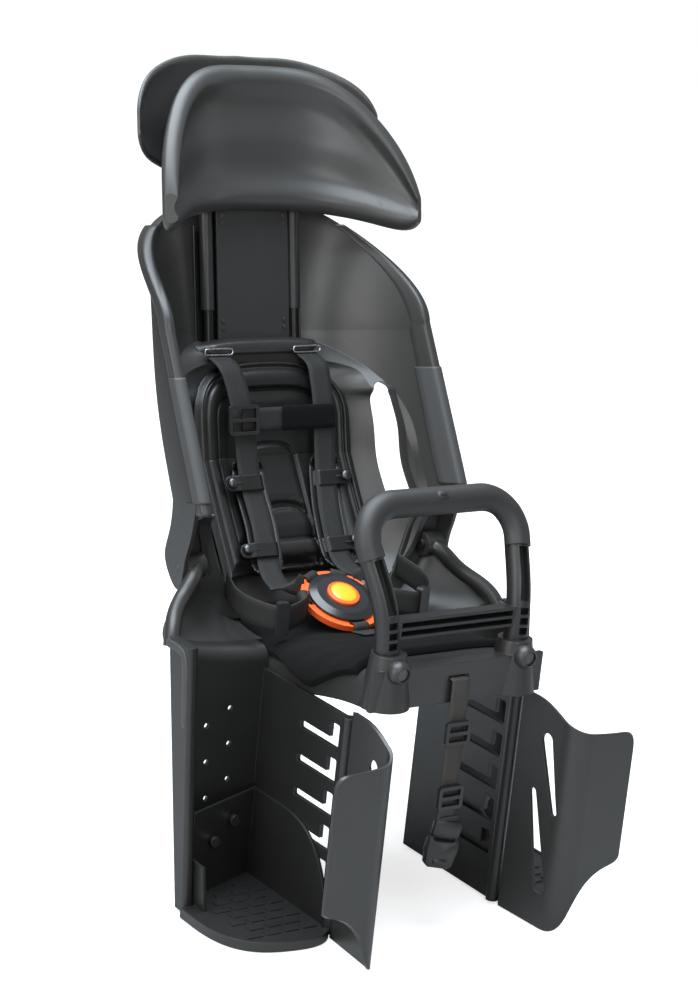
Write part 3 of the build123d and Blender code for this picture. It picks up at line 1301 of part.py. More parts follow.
def make_tray_screws():
    """Screws that fix the tray to the lowest used holes of the rear wall."""
    screws = []
    for x, first_z in REAR_HOLE_COLUMNS:
        z = first_z - REAR_HOLE_ROWS * REAR_HOLE_PITCH
        front = tray_rear_y(x + TRAY_SCREW_RADIUS) - TRAY_WALL - TRAY_SCREW_HEAD
        rear = rear_wall_y(x, z) + GUARD_WALL
        head = Pos(x, front, z) * Rot(90, 0, 0) * Cylinder(TRAY_SCREW_RADIUS, 2 * TRAY_SCREW_HEAD)
        head -= Pos(x, front + 2 * TRAY_SCREW_HEAD, z) * Box(THROUGH, 2 * TRAY_SCREW_HEAD, THROUGH)
        shank = Rot(90, 0, 0) * Cylinder(TRAY_SCREW_SHANK_RADIUS, rear - front)
        screws.append(head + Pos(x, (front + rear) / 2, z) * shank)
    return screws


add_pair("foot_tray", make_tray())
tray_screws = make_tray_screws()
NODES["foot_tray_screws"] = Compound(tray_screws + [mirrored(screw) for screw in tray_screws])


# Back pad and seat pad
def pad_layer(half_width, low_h, crown_h, top_h, near, far):
    """Layer of the back pad with a rounded top, between two offsets in front of the raised panel."""
    rows = []
    for share in BACK_PAD_SECTIONS:
        h = mix(low_h, top_h, share)
        width = crown_width(h, half_width, crown_h, top_h + BACK_PAD_CROWN)
        rows.append(back_strip(h, width, near, far))
    return Solid.make_loft(rows)


def make_back_pad():
    """Sewn pad: a body, a field inside its piped border, and a column of arched cushions."""
    face = PAD_LIFT + BACK_PAD_THICKNESS
    body = pad_layer(
        BACK_PAD_HALF_WIDTH, BACK_PAD_BOTTOM_H, BACK_PAD_CROWN_H, BACK_PAD_TOP_H, PAD_LIFT, face
    )
    field_face = face + BACK_PAD_RISE
    field_top = BACK_PAD_TOP_H - BACK_PAD_BORDER
    field_width = BACK_PAD_HALF_WIDTH - BACK_PAD_BORDER
    layers = [pad_layer(field_width, BACK_PAD_BOTTOM_H, BACK_PAD_CROWN_H, field_top, PAD_LIFT, field_face)]
    for row in range(CUSHION_ROWS):
        top = CUSHION_TOP_H - row * CUSHION_PITCH
        low = top - CUSHION_PITCH + BACK_PAD_SEAM
        crown = mix(low, top, CUSHION_CROWN_SHARE)
        layers.append(pad_layer(CUSHION_HALF_WIDTH, low, crown, top, PAD_LIFT, field_face + BACK_PAD_RISE))
    return largest(body.fuse(*layers) - SHELL_BODY)


def seat_pad_start(y):
    """Turn at which the seat pad's edge ends: low on the saddle's side where the pad drapes over it."""
    drape = smooth(1 - abs(y - SEAT_PAD_DRAPE_Y) / SEAT_PAD_DRAPE_LENGTH)
    return mix(SEAT_PAD_EDGE_DEG, SEAT_PAD_DRAPE_DEG, drape)


def pan_strip(y, half_width, near, far, steps=14):
    """Closed section between two offsets above the pan's top face."""
    shares = [mix(-1, 1, i / steps) for i in range(steps + 1)]
    face = [(half_width * s, pan_height(half_width * s, y)) for s in shares]
    over = offset_points(face, [far] * len(face))
    under = offset_points(face, [near] * len(face))
    return strip_wire(over, under, lambda a, b: Vector(a, y, b))


def make_seat_pad():
    near = PAD_LIFT
    far = PAD_LIFT + SEAT_PAD_THICKNESS
    rows = []
    for share in even_shares(5):
        y = mix(SEAT_PAD_FRONT_Y, PAN_FRONT_Y - SEAT_PAD_THICKNESS, share)
        rows.append(saddle_strip(y, near, far, seat_pad_start(y)))
    for share in SEAT_PAD_REAR_SECTIONS:
        y = mix(PAN_FRONT_Y, SEAT_PAD_REAR_Y, share)
        rows.append(pan_strip(y, SEAT_PAD_REAR_HALF_WIDTH, near, far))
    return Solid.make_loft(rows)


NODES["back_pad"] = BACK * make_back_pad()
seat_pad = largest(make_seat_pad() - base)
for place in GridLocations(CARRIER_HOLE_SPACING_X, CARRIER_HOLE_SPACING_Y, 2, 2):
    seat_pad -= place * Cylinder(CARRIER_HEAD_RADIUS, 2 * CARRIER_HEAD_TOP_Z)
NODES["seat_pad"] = seat_pad


# Shoulder straps with their wraps and studs
SHOULDER_TOP_D = SHELL_LOWER_D - SHELL_WALL + STRAP_LEDGE_DEPTH / 2


def shoulder_path(side):
    """Middle line of one shoulder strap, from the strap ledge down; both sway to the child's left."""
    top = (STRAP_SLOT_X, SHOULDER_TOP_D + WEBBING_THICKNESS, LEDGE_H - LEDGE_DROP - 2 * WEBBING_THICKNESS)
    places = (top,) + SHOULDER_PLACES
    last = len(places) - 1
    points = []
    for i, (x, d, h) in enumerate(places):
        sway = SHOULDER_SWAY * math.sin(math.pi * i / last) ** 2
        points.append(on_back(side * x + sway, d, h))
    return smooth_path(points)


def strap_place(path, share, lift):
    """Plane on a strap's front face at a share of its length, lifted off it."""
    i = round(share * (len(path) - 1))
    run = path[i + 1] - path[i - 1]
    out = run.cross(Vector(1, 0, 0)).normalized()
    return Plane(path[i] + out * lift, x_dir=(1, 0, 0), z_dir=out)


WRAP_LIFT = -(WEBBING_THICKNESS + WRAP_THICKNESS) / 2 - SEAT_CLEARANCE
TAB_LIFT = WEBBING_THICKNESS / 2 + 3 * SEAT_CLEARANCE
STUD_LIFT = TAB_LIFT + TAB_THICKNESS + SEAT_CLEARANCE


def make_wrap(path):
    """Leather backing behind a strap."""
    last = len(path) - 1
    rows = range(round(WRAP_START * last), round(WRAP_END * last) + 1)
    return ribbon([strap_place(path, i / last, WRAP_LIFT).origin for i in rows], WRAP_WIDTH, WRAP_THICKNESS)


def make_tab(path, side, share):
    tab = Pos(side * TAB_SHIFT, 0, 0) * SlotOverall(TAB_LENGTH, TAB_WIDTH)
    return strap_place(path, share, TAB_LIFT) * extrude(tab, TAB_THICKNESS)


def make_stud(path, side, share):
    dome = Sphere(STUD_RADIUS) & Pos(0, 0, STUD_RADIUS) * Box(FAR, FAR, 2 * STUD_RADIUS)
    dome = scale(dome, (1, 1, STUD_HEIGHT / STUD_RADIUS))
    return strap_place(path, share, STUD_LIFT) * Pos(side * STUD_SHIFT, 0, 0) * dome


tabs = []
studs = []
for name, side in (("left", 1), ("right", -1)):
    path = shoulder_path(side)
    NODES[f"{name}_shoulder_strap"] = ribbon(path, WEBBING_WIDTH, WEBBING_THICKNESS)
    NODES[f"{name}_shoulder_wrap"] = make_wrap(path)
    for share in TAB_SHARES:
        tabs.append(make_tab(path, side, share))
        studs.append(make_stud(path, side, share))
NODES["wrap_tabs"] = Compound(tabs)
NODES["wrap_studs"] = Compound(studs)


# Chest strap with its slide buckle
CHEST_ACROSS = on_back(0, 0, 1) - on_back(0, 0, 0)
CHEST_OUT = on_back(0, 1, 0) - on_back(0, 0, 0)
CHEST_PLANE = Plane(on_back(CHEST_SLIDE_X, CHEST_D, CHEST_H), x_dir=(1, 0, 0), z_dir=CHEST_OUT)
chest_points = [on_back(x, CHEST_D, CHEST_H) for x in (CHEST_SLIDE_X, CHEST_END_X)]
NODES["chest_strap"] = ribbon(chest_points, CHEST_STRAP_WIDTH, WEBBING_THICKNESS, CHEST_ACROSS)
chest_slide = slide_buckle(SLIDE_BUCKLE_WIDTH, SLIDE_BUCKLE_HEIGHT, SLIDE_BUCKLE_THICKNESS, SLIDE_BUCKLE_BAR)
chest_lift = (SLIDE_BUCKLE_THICKNESS + WEBBING_THICKNESS) / 2 + SEAT_CLEARANCE
NODES["chest_slide_buckle"] = CHEST_PLANE * Pos(0, 0, chest_lift) * chest_slide


# Harness buckle: a base, a ring of tongues, a lid and a release button
BUCKLE = Pos(0, BUCKLE_Y, BUCKLE_Z) * Rot(BUCKLE_TILT_DEG, 0, 0)


def disc(radius, low, high):
    return Pos(0, 0, (low + high) / 2) * Cylinder(radius, high - low)


def make_buckle_base():
    well = disc(BUTTON_RADIUS + SLIDE_CLEARANCE / 2, -BUTTON_WELL, 0.0)
    return disc(RING_INNER_RADIUS - SEAT_CLEARANCE, -BUCKLE_BASE_HEIGHT, 0.0) - well


def make_tongue_ring():
    """Three tongues that meet in a ring, with a strap window in each one."""
    ring = disc(RING_OUTER_RADIUS, -RING_HEIGHT, 0.0) - disc(RING_INNER_RADIUS, -RING_HEIGHT, 0.0)
    for turn in TONGUE_WINDOWS_DEG:
        middle = (RING_INNER_RADIUS + RING_OUTER_RADIUS) / 2
        window = Box(WINDOW_SLOT_WIDTH, WINDOW_SLOT_LENGTH, 3 * RING_HEIGHT)
        ring -= Rot(0, 0, turn) * Pos(middle, 0, 0) * window
    return ring


def make_lid():
    lid = disc(BUCKLE_RADIUS, SEAT_CLEARANCE, SEAT_CLEARANCE + BUCKLE_LID_HEIGHT)
    lid = chamfer(lid.edges().group_by(Axis.Z)[-1], BUCKLE_LID_HEIGHT / 2, BUCKLE_LID_SLOPE)
    return lid - disc(BUTTON_RADIUS + SLIDE_CLEARANCE / 2, 0.0, 3 * BUCKLE_LID_HEIGHT)


def make_button():
    top = SEAT_CLEARANCE + BUCKLE_LID_HEIGHT + BUTTON_PROUD
    button = disc(BUTTON_RADIUS, top - BUTTON_HEIGHT, top)
    return fillet(button.edges().group_by(Axis.Z)[-1], BUTTON_PROUD / 2)


NODES["buckle_base"] = BUCKLE * make_buckle_base()
NODES["buckle_tongue_ring"] = BUCKLE * make_tongue_ring()
NODES["buckle_lid"] = BUCKLE * make_lid()
NODES["buckle_button"] = BUCKLE * make_button()


# Waist straps with their slide loops, and the crotch strap
waist_points = smooth_path(WAIST_PLACES)
add_pair("waist_strap", ribbon(waist_points, WEBBING_WIDTH, WEBBING_THICKNESS, (0, 0, 1)))


def make_waist_loop():
    i = round(WAIST_LOOP_SHARE * (len(waist_points) - 1))
    run = waist_points[i + 1] - waist_points[i - 1]
    plane = Plane(waist_points[i], x_dir=run, z_dir=run.cross(Vector(0, 0, 1)))
    loop = RectangleRounded(WAIST_LOOP_WIDTH, WAIST_LOOP_HEIGHT, SLIDE_BUCKLE_BAR)
    loop = extrude(loop, WAIST_LOOP_DEPTH / 2, both=True)
    room = Box(THROUGH, WEBBING_WIDTH + 2 * SLIDE_CLEARANCE, 3 * WEBBING_THICKNESS)
    return plane * (loop - room)


waist_loop = make_waist_loop()
NODES["waist_loops"] = Compound([waist_loop, mirrored(waist_loop)])
NODES["crotch_strap"] = ribbon(smooth_path(CROTCH_PLACES), WEBBING_WIDTH, WEBBING_THICKNESS)


# Front strap with its slides and the socket of its side-release buckle
FRONT_STRAP_Y = APRON_FRONT_Y - FRONT_STRAP_STANDOFF
front_points = [
    (0, SADDLE_FRONT_Y + PAN_WALL, FRONT_STRAP_TOP_Z),
    (0, APRON_FRONT_Y, FRONT_STRAP_TOP_Z),
    (0, FRONT_STRAP_Y, FRONT_STRAP_TOP_Z - FRONT_STRAP_STANDOFF),
    (0, FRONT_STRAP_Y, FRONT_STRAP_TOP_Z - FRONT_STRAP_LENGTH),
]
NODES["front_strap"] = ribbon(front_points, FRONT_STRAP_WIDTH, FRONT_STRAP_THICKNESS)
front_slides = []
for drop in FRONT_SLIDE_DROPS:
    slide = slide_buckle(FRONT_SLIDE_WIDTH, FRONT_SLIDE_HEIGHT, FRONT_SLIDE_THICKNESS, SLIDE_BUCKLE_BAR)
    lift = (FRONT_SLIDE_THICKNESS + FRONT_STRAP_THICKNESS) / 2 + SEAT_CLEARANCE
    front_slides.append(Pos(0, FRONT_STRAP_Y - lift, FRONT_STRAP_TOP_Z - drop) * Rot(90, 0, 0) * slide)
NODES["front_strap_slides"] = Compound(front_slides)


def make_front_buckle():
    """Socket that hangs on the strap's end, with its two side openings and its mouth."""
    body = Box(FRONT_BUCKLE_WIDTH, FRONT_BUCKLE_DEPTH, FRONT_BUCKLE_LENGTH)
    body = fillet(body.edges().filter_by(Axis.Z), FRONT_BUCKLE_DEPTH / 3)
    mouth = Box(FRONT_BUCKLE_WIDTH - 2 * FRONT_BUCKLE_WALL, FRONT_BUCKLE_MOUTH, FRONT_BUCKLE_LENGTH)
    body -= Pos(0, 0, -FRONT_BUCKLE_LENGTH / 4) * mouth
    sides = Box(2 * FRONT_BUCKLE_WIDTH, FRONT_BUCKLE_MOUTH, FRONT_BUCKLE_LENGTH / 3)
    return body - sides


front_buckle_z = FRONT_STRAP_TOP_Z - FRONT_STRAP_LENGTH - FRONT_BUCKLE_LENGTH / 2 - SEAT_CLEARANCE
NODES["front_buckle"] = Pos(0, FRONT_STRAP_Y, front_buckle_z) * make_front_buckle()

os.makedirs("parts", exist_ok=True)
for name, shape in NODES.items():
    export_step(shape, f"parts/{name}.step")
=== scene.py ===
import json
import math

import bmesh
import bpy
import numpy as np
from mathutils import Matrix, Vector


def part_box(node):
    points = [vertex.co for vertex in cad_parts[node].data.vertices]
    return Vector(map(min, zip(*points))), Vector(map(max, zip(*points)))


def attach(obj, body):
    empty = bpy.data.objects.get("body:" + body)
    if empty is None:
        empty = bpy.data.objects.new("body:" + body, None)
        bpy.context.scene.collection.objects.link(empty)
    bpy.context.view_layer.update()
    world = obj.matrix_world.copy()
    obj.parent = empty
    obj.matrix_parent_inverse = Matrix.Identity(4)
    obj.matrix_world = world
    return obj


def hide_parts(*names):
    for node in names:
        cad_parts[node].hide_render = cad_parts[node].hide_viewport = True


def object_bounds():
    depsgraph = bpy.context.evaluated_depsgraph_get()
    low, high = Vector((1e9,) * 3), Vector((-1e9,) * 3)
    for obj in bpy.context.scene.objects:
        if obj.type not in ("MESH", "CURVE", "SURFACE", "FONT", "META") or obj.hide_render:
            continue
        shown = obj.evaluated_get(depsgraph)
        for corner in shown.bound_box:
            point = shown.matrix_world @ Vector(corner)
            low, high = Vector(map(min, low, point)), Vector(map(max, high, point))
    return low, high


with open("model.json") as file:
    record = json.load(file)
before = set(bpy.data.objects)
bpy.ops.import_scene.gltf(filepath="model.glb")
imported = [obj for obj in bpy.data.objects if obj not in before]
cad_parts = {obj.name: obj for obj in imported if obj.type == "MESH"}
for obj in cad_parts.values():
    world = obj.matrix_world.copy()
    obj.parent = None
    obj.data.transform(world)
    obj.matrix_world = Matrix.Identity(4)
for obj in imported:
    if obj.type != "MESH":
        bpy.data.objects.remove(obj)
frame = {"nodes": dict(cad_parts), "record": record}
CAD_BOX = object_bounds()
NODES = frame["nodes"]
SIDES = (("left", 1), ("right", -1))

# Camera, metres and degrees in the seat's frame
CAMERA_PLACE = Vector((-1.3060, -1.7912, 0.7221))
CAMERA_TARGET = Vector((0.0, 0.0, 0.140))
CAMERA_ROLL_DEG = 5.911
CAMERA_LENS = 88.63
CAMERA_SENSOR = 36.0

# Surround: its light on the object, its share in reflections, and the floor's extra white to the camera
WHITE = (1.0, 1.0, 1.0)
WORLD_LIGHT = 0.10
GLOSSY_SHARE = 0.20
FLOOR_GREY = 0.6
FLOOR_ROUGHNESS = 0.9
FLOOR_GLOW_NEAR = 0.7
FLOOR_GLOW_FAR = 1.0
FLOOR_GLOW_START = 0.5
FLOOR_GLOW_END = 2.2
FLOOR_HALF_SIZE = 7.0
FLOOR_DROP = 0.001

# Lamps: name, place, target, width and height in metres, watts, colour
LAMPS = (
    ("top", (-0.3, 0.2, 2.1), (0, 0, 0.2), (2.2, 1.8), 130.0, (0.82, 0.92, 1.0)),
    ("key_left", (-2.3, -0.7, 1.0), (0, 0, 0.15), (1.3, 1.9), 34.0, (1.0, 0.985, 0.96)),
    ("front", (-0.9, -2.7, 1.5), (0, 0, 0.15), (1.2, 1.2), 30.0, WHITE),
    ("right", (2.2, -0.9, 0.9), (0, 0, 0.1), (0.7, 1.8), 4.0, WHITE),
)

# Everything below is in millimetres, as in the part, and becomes metres when a mesh is made.
# On the backrest, x is sideways, d is forward off its plane and h is up along it.
MM = 0.001
LEAN = math.radians(11.6)
BACK_FOOT_Y = 186.0
BACK_FOOT_Z = 266.0
TINY = 1e-6

# Faces of the backrest shell
SHELL_HALF_WIDTH = 142.0
SHELL_TOP_H = 124.0
SHELL_CROWN_POWER = 2.6
SHELL_BOTTOM_H = -268.0
SHELL_LOWER_D = 8.0
SHELL_LUMBAR_D = 72.0
SHELL_LUMBAR_H = -128.0
SHELL_LUMBAR_POWER = 1.1
SHELL_WING_D = 139.0
SHELL_SHOULDER_D = 85.0
SHELL_CROWN_D = -12.0
SHELL_BOW_POWER = 3.5
SHELL_EDGE_WALL = 9.5
PANEL_TOP_H = -7.0
PANEL_STEP = 24.0
PANEL_STEP_FOOT = 5.0

# Wing rims and the soft covers on them
EDGE_PAD_TOP_H = -43.0
EDGE_PAD_BOTTOM_H = -156.0
EDGE_COVER_LIFT = 1.9
EDGE_COVER_INNER_REACH = 8.5
RIM_TOP_H = 98.0
RIM_BOTTOM_H = -167.0
RIM_LIFT = 0.7
RIM_INNER_REACH = 8.0
RIM_INNER_START = 1.5
RIM_OUTER_START = 2.0
RIM_OUTER_REACH = 11.0
RIM_NOSE = 3.5
RIM_NOSE_POWER = 0.8
RIM_SINK = 0.6

# Walls under the wings, as d and h along their line, and the channels behind the posts, as x and d
WAIST_WEB_PLACES = (
    (139.0, -166.0),
    (124.0, -171.0),
    (110.0, -178.0),
    (101.0, -189.0),
    (96.0, -205.0),
    (93.0, -232.0),
    (91.0, -250.0),
    (93.0, -272.0),
)
WAIST_WEB_OVERLAP = 5.0
WAIST_WEB_OUTER_X = 149.0
WAIST_WEB_BOW = 2.5
WAIST_WEB_WALL = 2.4
CHEEK_BOTTOM_H = -26.0
CHEEK_TOP_H = 97.0
CHEEK_SECTION = ((30.0, -15.0), (44.0, -15.2), (54.0, -15.0), (58.0, -14.0), (59.6, -12.0), (60.4, -9.0))
CHEEK_WALL = 1.4

# Strap ledge and the wire loops of its slots
STRAP_LEDGE_HALF_WIDTH = 70.0
STRAP_LEDGE_REAR_D = 1.0
STRAP_LEDGE_FRONT_D = 14.5
STRAP_LEDGE_END_D = 6.0
STRAP_LEDGE_ROUND_FROM = 0.75
STRAP_LEDGE_BOTTOM_H = -27.0
STRAP_LEDGE_TOP_H = -14.0
STRAP_LEDGE_END_TOP_H = -19.0
STRAP_LEDGE_LOW_EDGE = 2.0
STRAP_LEDGE_HIGH_EDGE = ((0.0, 3.0), (1.2, 0.8), (4.0, 0.0))
STRAP_LEDGE_REAR_RISE = 3.0
STRAP_WIRE_D_SHIFT = 2.4
STRAP_WIRE_H_SHIFT = 4.2
STRAP_WIRE_HALF_WIDTH = 15.5
STRAP_WIRE_HALF_HEIGHT = 3.0
STRAP_WIRE_RADIUS = 0.9
STRAP_WIRE_CORNER_POWER = 0.35

# Seat base and leg guards
PAN_CENTRE_Z = 13.0
PAN_FRONT_Y = -2.0
PAN_POWER = 5.0
LUG_X = 139.0
LUG_Y = 46.0
LUG_Z = 74.0
LIP_X = 189.0
LIP_TOP_Z = 27.0
LIP_WIDTH = 10.0
LIP_TOP_DEPTH = 34.0
LIP_BOTTOM_DEPTH = 15.0
LIP_REAR_OVERLAP = 4.0
GUARD_REAR_Y = -27.0
GUARD_REAR_TOP_SHIFT = 8.0
GUARD_REAR_BOTTOM_SHIFT = -39.0
GUARD_BOTTOM_Z = -210.0
SADDLE_HALF_WIDTH = 91.0
SADDLE_FRONT_Y = -186.0
SADDLE_RISE = 31.0
SADDLE_SKIRT = 46.0
SADDLE_POWER = 5.0

# Lip covers: their middle line runs on the pan's rim (y, drop), round the bend (set-back from the lip's
# front, drop of the place where that front is taken, drop) and down the lip's front
LIP_COVER_RISE = 1.6
LIP_COVER_DEPTH = 4.6
LIP_COVER_TAPER = 9.0
LIP_COVER_END_SHARE = 0.15
LIP_COVER_POWER = 0.6
LIP_COVER_RIM_PLACES = ((-9.0, 4.2), (-24.0, 3.7))
LIP_COVER_BEND_PLACES = ((14.0, 0.0, 3.9), (5.6, 4.0, 8.0))
LIP_COVER_FRONT_DROP = 20.0
LIP_COVER_FRONT_SETBACK = 3.6

# Seat pad
PAD_LIFT = 0.8
PAD_LEAST = 0.3
SEAT_PAD_FRONT_Y = -158.0
SEAT_PAD_REAR_Y = 44.0
SEAT_PAD_REAR_HALF_WIDTH = 84.0
SEAT_PAD_DRAPE_Y = -96.0
SEAT_PAD_DRAPE_LENGTH = 70.0
SEAT_PAD_EDGE_DEG = 30.0
SEAT_PAD_DRAPE_DEG = 4.0
SEAT_PAD_THICKNESS = 6.0
SEAT_PAD_EDGE_ROUND = 5.0
SEAT_PAD_BLEND_LEAD = 10.0
SEAT_PAD_BLEND_LENGTH = 24.0
SEAT_PAD_RIPPLE = 0.8
SEAT_PAD_RIPPLE_FADE = 6.0
SEAT_PAD_WAVE_Y = (0.11, 0.06)
SEAT_PAD_WAVE_X = 0.05
SEAT_PAD_WAVE_SLANT = 1.7

# Grip
BAR_TOP_Y = -130.0
BAR_TOP_Z = 175.0
GRIP_RADIUS = 12.8
GRIP_POCKET_TILT_DEG = 40.0
GRIP_POCKET_SINK = 0.2
GRIP_POCKET_STEP = 0.25
GRIP_POCKET_DEPTH = 2.1
GRIP_POCKET_RIM = (5.6, 3.4)
GRIP_POCKET_HALF = (4.0, 2.0)

# Back pad
BACK_PAD_HALF_WIDTH = 90.0
BACK_PAD_TOP_H = -34.0
BACK_PAD_TOP_GAP = 0.6
BACK_PAD_CROWN_H = -95.0
BACK_PAD_BOTTOM_H = -238.0
BACK_PAD_THICKNESS = 8.5
BACK_PAD_BORDER = 10.0
PIPING = ((2.4, 2.2), (7.6, 2.0))
PIPING_BASE = 6.0
PIPING_ROUND = 2.0
BOLSTER_INNER = 27.0
BOLSTER_RISE = 4.5
BOLSTER_SEAM_DEPTH = 2.2
BOLSTER_SEAM_WIDTH = 1.6
MIDDLE_RISE = 3.0
MIDDLE_ROUND = 14.0
CUSHION_HALF_WIDTH = 31.0
CUSHION_TOPS_H = (-114.0, -178.0, -232.0)
CUSHION_CROWN = 22.0
CUSHION_RISE = 4.0
CUSHION_ROUND = 9.0
CUSHION_SEAM_DEPTH = 3.0
CUSHION_SEAM_WIDTH = 1.5
CUSHION_BEAD = (4.2, 1.4)
SNAP_X = 70.0
SNAP_H = -80.0
SNAP_LIFT = 8.0
SNAP_RADIUS = 4.2
SNAP_HEIGHT = 4.0
SNAP_TOP_SHARE = 0.02

# Shoulder straps, with their leather backings, tabs and keyholes
WEBBING_WIDTH = 25.0
WEBBING_THICKNESS = 1.6
STRAP_TOP = (51.0, 13.1, -28.2)
SHOULDER_SWAY = 7.0
SHOULDER_PLACES = (
    (51.0, 30.0, -38.0),
    (49.0, 35.0, -55.0),
    (47.0, 39.0, -85.0),
    (44.0, 45.0, -145.0),
    (40.0, 62.5, -190.0),
    (43.0, 84.0, -230.0),
    (54.0, 122.0, -243.0),
)
WRAP_WIDTH = 35.0
WRAP_THICKNESS = 1.8
WRAP_START = 0.40
WRAP_END = 0.84
WRAP_SETBACK = 2.6
WRAP_CURL = 2.2
WRAP_ROUND_RATIO = 9.0
WRAP_END_SHARE = 0.05
TAB_SHARES = (0.5, 0.75)
TAB_SHIFT = 8.0
TAB_LENGTH = 44.0
TAB_WIDTH = 15.0
TAB_THICKNESS = 1.7
TAB_LIFT = 1.2
TAB_TUCK = 4.5
TAB_TUCK_FROM = 0.86
TAB_SAG = 1.0
TAB_SAG_LENGTH = 8.0
TAB_END_SQUARE = 0.3
STUD_SHIFT = 22.0
KEYHOLE_SETBACK = 9.0
KEYHOLE_HALF_LENGTH = 3.2
KEYHOLE_ROUND = 3.3
KEYHOLE_LIFT = 2.9
KEYHOLE_RISE = 0.14
KEYHOLE_DEPTH = 0.6
KEYHOLE_END_SHARE = 0.05

# Chest strap with its hook strip
CHEST_H = -89.0
CHEST_D = 42.0
CHEST_SLIDE_X = -43.0
CHEST_END_X = 62.0
CHEST_WIDTH = 22.0
CHEST_RIPPLE = 0.6
CHEST_RIPPLE_RATE = 0.09
CHEST_TAB_X = 2.0
CHEST_TAB_THICKNESS = 2.0
CHEST_TAB_MARGIN = 2.0

# Harness buckle and the straps that reach it
BUCKLE_PLACE = (0.0, -4.0, 44.8)
BUCKLE_TILT = math.radians(24.0)
RING_RADIUS = 34.5
RING_LOOPS_DEG = (10.0, 65.0, 115.0, 170.0, 270.0)
RING_LOOP_WIDTH = 17.0
RING_LOOP_SHIFT = 3.4
RING_LOOP_REACH = 4.6
RING_LOOP_Z = -3.0
RING_LOOP_RISE = 5.0
BUTTON_FACE_RADIUS = 12.8
BUTTON_TOP = 7.9
BUTTON_FACE_STEPS = ((0.0, -0.3), (0.0, 0.15), (0.5, 0.3), (8.8, 0.5))
WAIST_PLACES = (
    (98.0, 45.0, 55.0),
    (106.0, 15.0, 47.0),
    (98.0, -10.0, 42.0),
    (79.0, -25.0, 39.0),
    (55.0, -20.0, 42.0),
    (40.4, -8.0, 44.0),
)
CROTCH_PLACES = ((0.0, -64.0, 29.4), (0.0, -52.0, 27.0), (0.0, -42.0, 25.2))
TONGUE_TURN_DEG = 50.0
TONGUE_START_SHIFT = (0.0, 3.0, 1.0)
TONGUE_MIDDLE = (54.0, 40.0, 1.0)
TONGUE_END = (37.0, 37.0, -2.5)
TONGUE_END_ACROSS = (0.1, 0.3, 0.95)
TONGUE_NARROWING = 4.0

# Front strap and its buckle: outlines in x and z, some of them the half at +x, and thickness along y
FRONT_STRAP_PLACES = (
    (0.0, -181.0, 30.0),
    (0.0, -189.0, 30.0),
    (0.0, -193.5, 28.5),
    (0.0, -195.0, 24.0),
    (0.0, -195.0, -30.0),
    (0.0, -195.0, -104.0),
)
FRONT_STRAP_WIDTH = 20.0
FRONT_STRAP_END_Z = (26.0, 20.0)
FRONT_BUCKLE_TURN_DEG = -16.0
FRONT_BUCKLE_TILT_DEG = 10.0
SOCKET_HALF = ((9, 3), (13, 6), (15, 2), (15, -8), (13, -20), (10, -22.5))
SOCKET_THICKNESS = 9.0
PLUG_HALF = ((12.5, 22), (13.5, 19), (13.5, 8), (8, 6))
PLUG_THICKNESS = 6.5
PRONG_OUTLINE = ((10.5, 8), (14.6, 5), (16.4, -2), (16.2, -9), (13.5, -6), (11, 0))
PRONG_THICKNESS = 5.0
RIDGE_HALF = ((6, -14), (7, -16), (6, -19))
RIDGE_THICKNESS = 2.4
RIDGE_FORWARD = -4.6
PRISM_CHAMFER = 1.2
PRISM_CHAMFER_RUN = 1.0

# How many points each mesh has, along and across or round, and how far the back pad's close up at its edges
BACK_PAD_GRID = (170, 150)
BACK_PAD_CLOSING = (0.6, 0.7)
SEAT_PAD_GRID = (120, 110)
RIM_COUNT = 90
RIM_INNER_COUNT = 6
RIM_NOSE_COUNT = 13
RIM_OUTER_COUNT = 5
EDGE_COVER_COUNT = 60
LIP_COVER_FRONT_COUNT = 5
LIP_COVER_ROUND_COUNT = 28
WAIST_WEB_GRID = (8, 14)
CHEEK_COUNT = 24
STRAP_LEDGE_COUNT = 61
STRAP_WIRE_GRID = (49, 10)
SNAP_GRID = (7, 20)
WRAP_GRID = (90, 15)
TAB_GRID = (40, 13)
KEYHOLE_COUNT = 9
CHEST_COUNT = 40
CHEST_TAB_COUNT = 30
RING_LOOP_COUNT = 33
BUTTON_FACE_COUNT = 48


# Small maths
def mix(a, b, share):
    return a + (b - a) * share


def smooth(share):
    share = np.clip(share, 0.0, 1.0)
    return share * share * (3 - 2 * share)


def square_off(value, power):
    """Raises a sine or cosine to a power and keeps its sign, which squares off a circle."""
    return np.sign(value) * np.abs(value) ** power


def unit(vectors):
    return vectors / np.maximum(np.linalg.norm(vectors, axis=-1, keepdims=True), 1e-9)


def on_back(x, d, h):
    """A point of the leaning backrest frame, in the seat's frame."""
    y = BACK_FOOT_Y + h * math.sin(LEAN) - d * math.cos(LEAN)
    z = BACK_FOOT_Z + h * math.cos(LEAN) + d * math.sin(LEAN)
    return np.stack(np.broadcast_arrays(x, y, z), axis=-1).astype(float)


def on_buckle(x, y, z):
    """A point of the buckle's tilted frame, in the seat's frame."""
    c, s = math.cos(BUCKLE_TILT), math.sin(BUCKLE_TILT)
    return np.array((BUCKLE_PLACE[0] + x, BUCKLE_PLACE[1] + y * c - z * s, BUCKLE_PLACE[2] + y * s + z * c))


SIDEWAYS = np.array((1.0, 0.0, 0.0))
UPRIGHT = np.array((0.0, 0.0, 1.0))
BACK_UP = on_back(0, 0, 1) - on_back(0, 0, 0)
BACK_OUT = on_back(0, 1, 0) - on_back(0, 0, 0)


def turns(count):
    """Angles evenly round a circle."""
    return np.linspace(0.0, 2 * math.pi, count, endpoint=False)


def circle(radius, count):
    return [(radius * math.cos(turn), radius * math.sin(turn)) for turn in turns(count)]


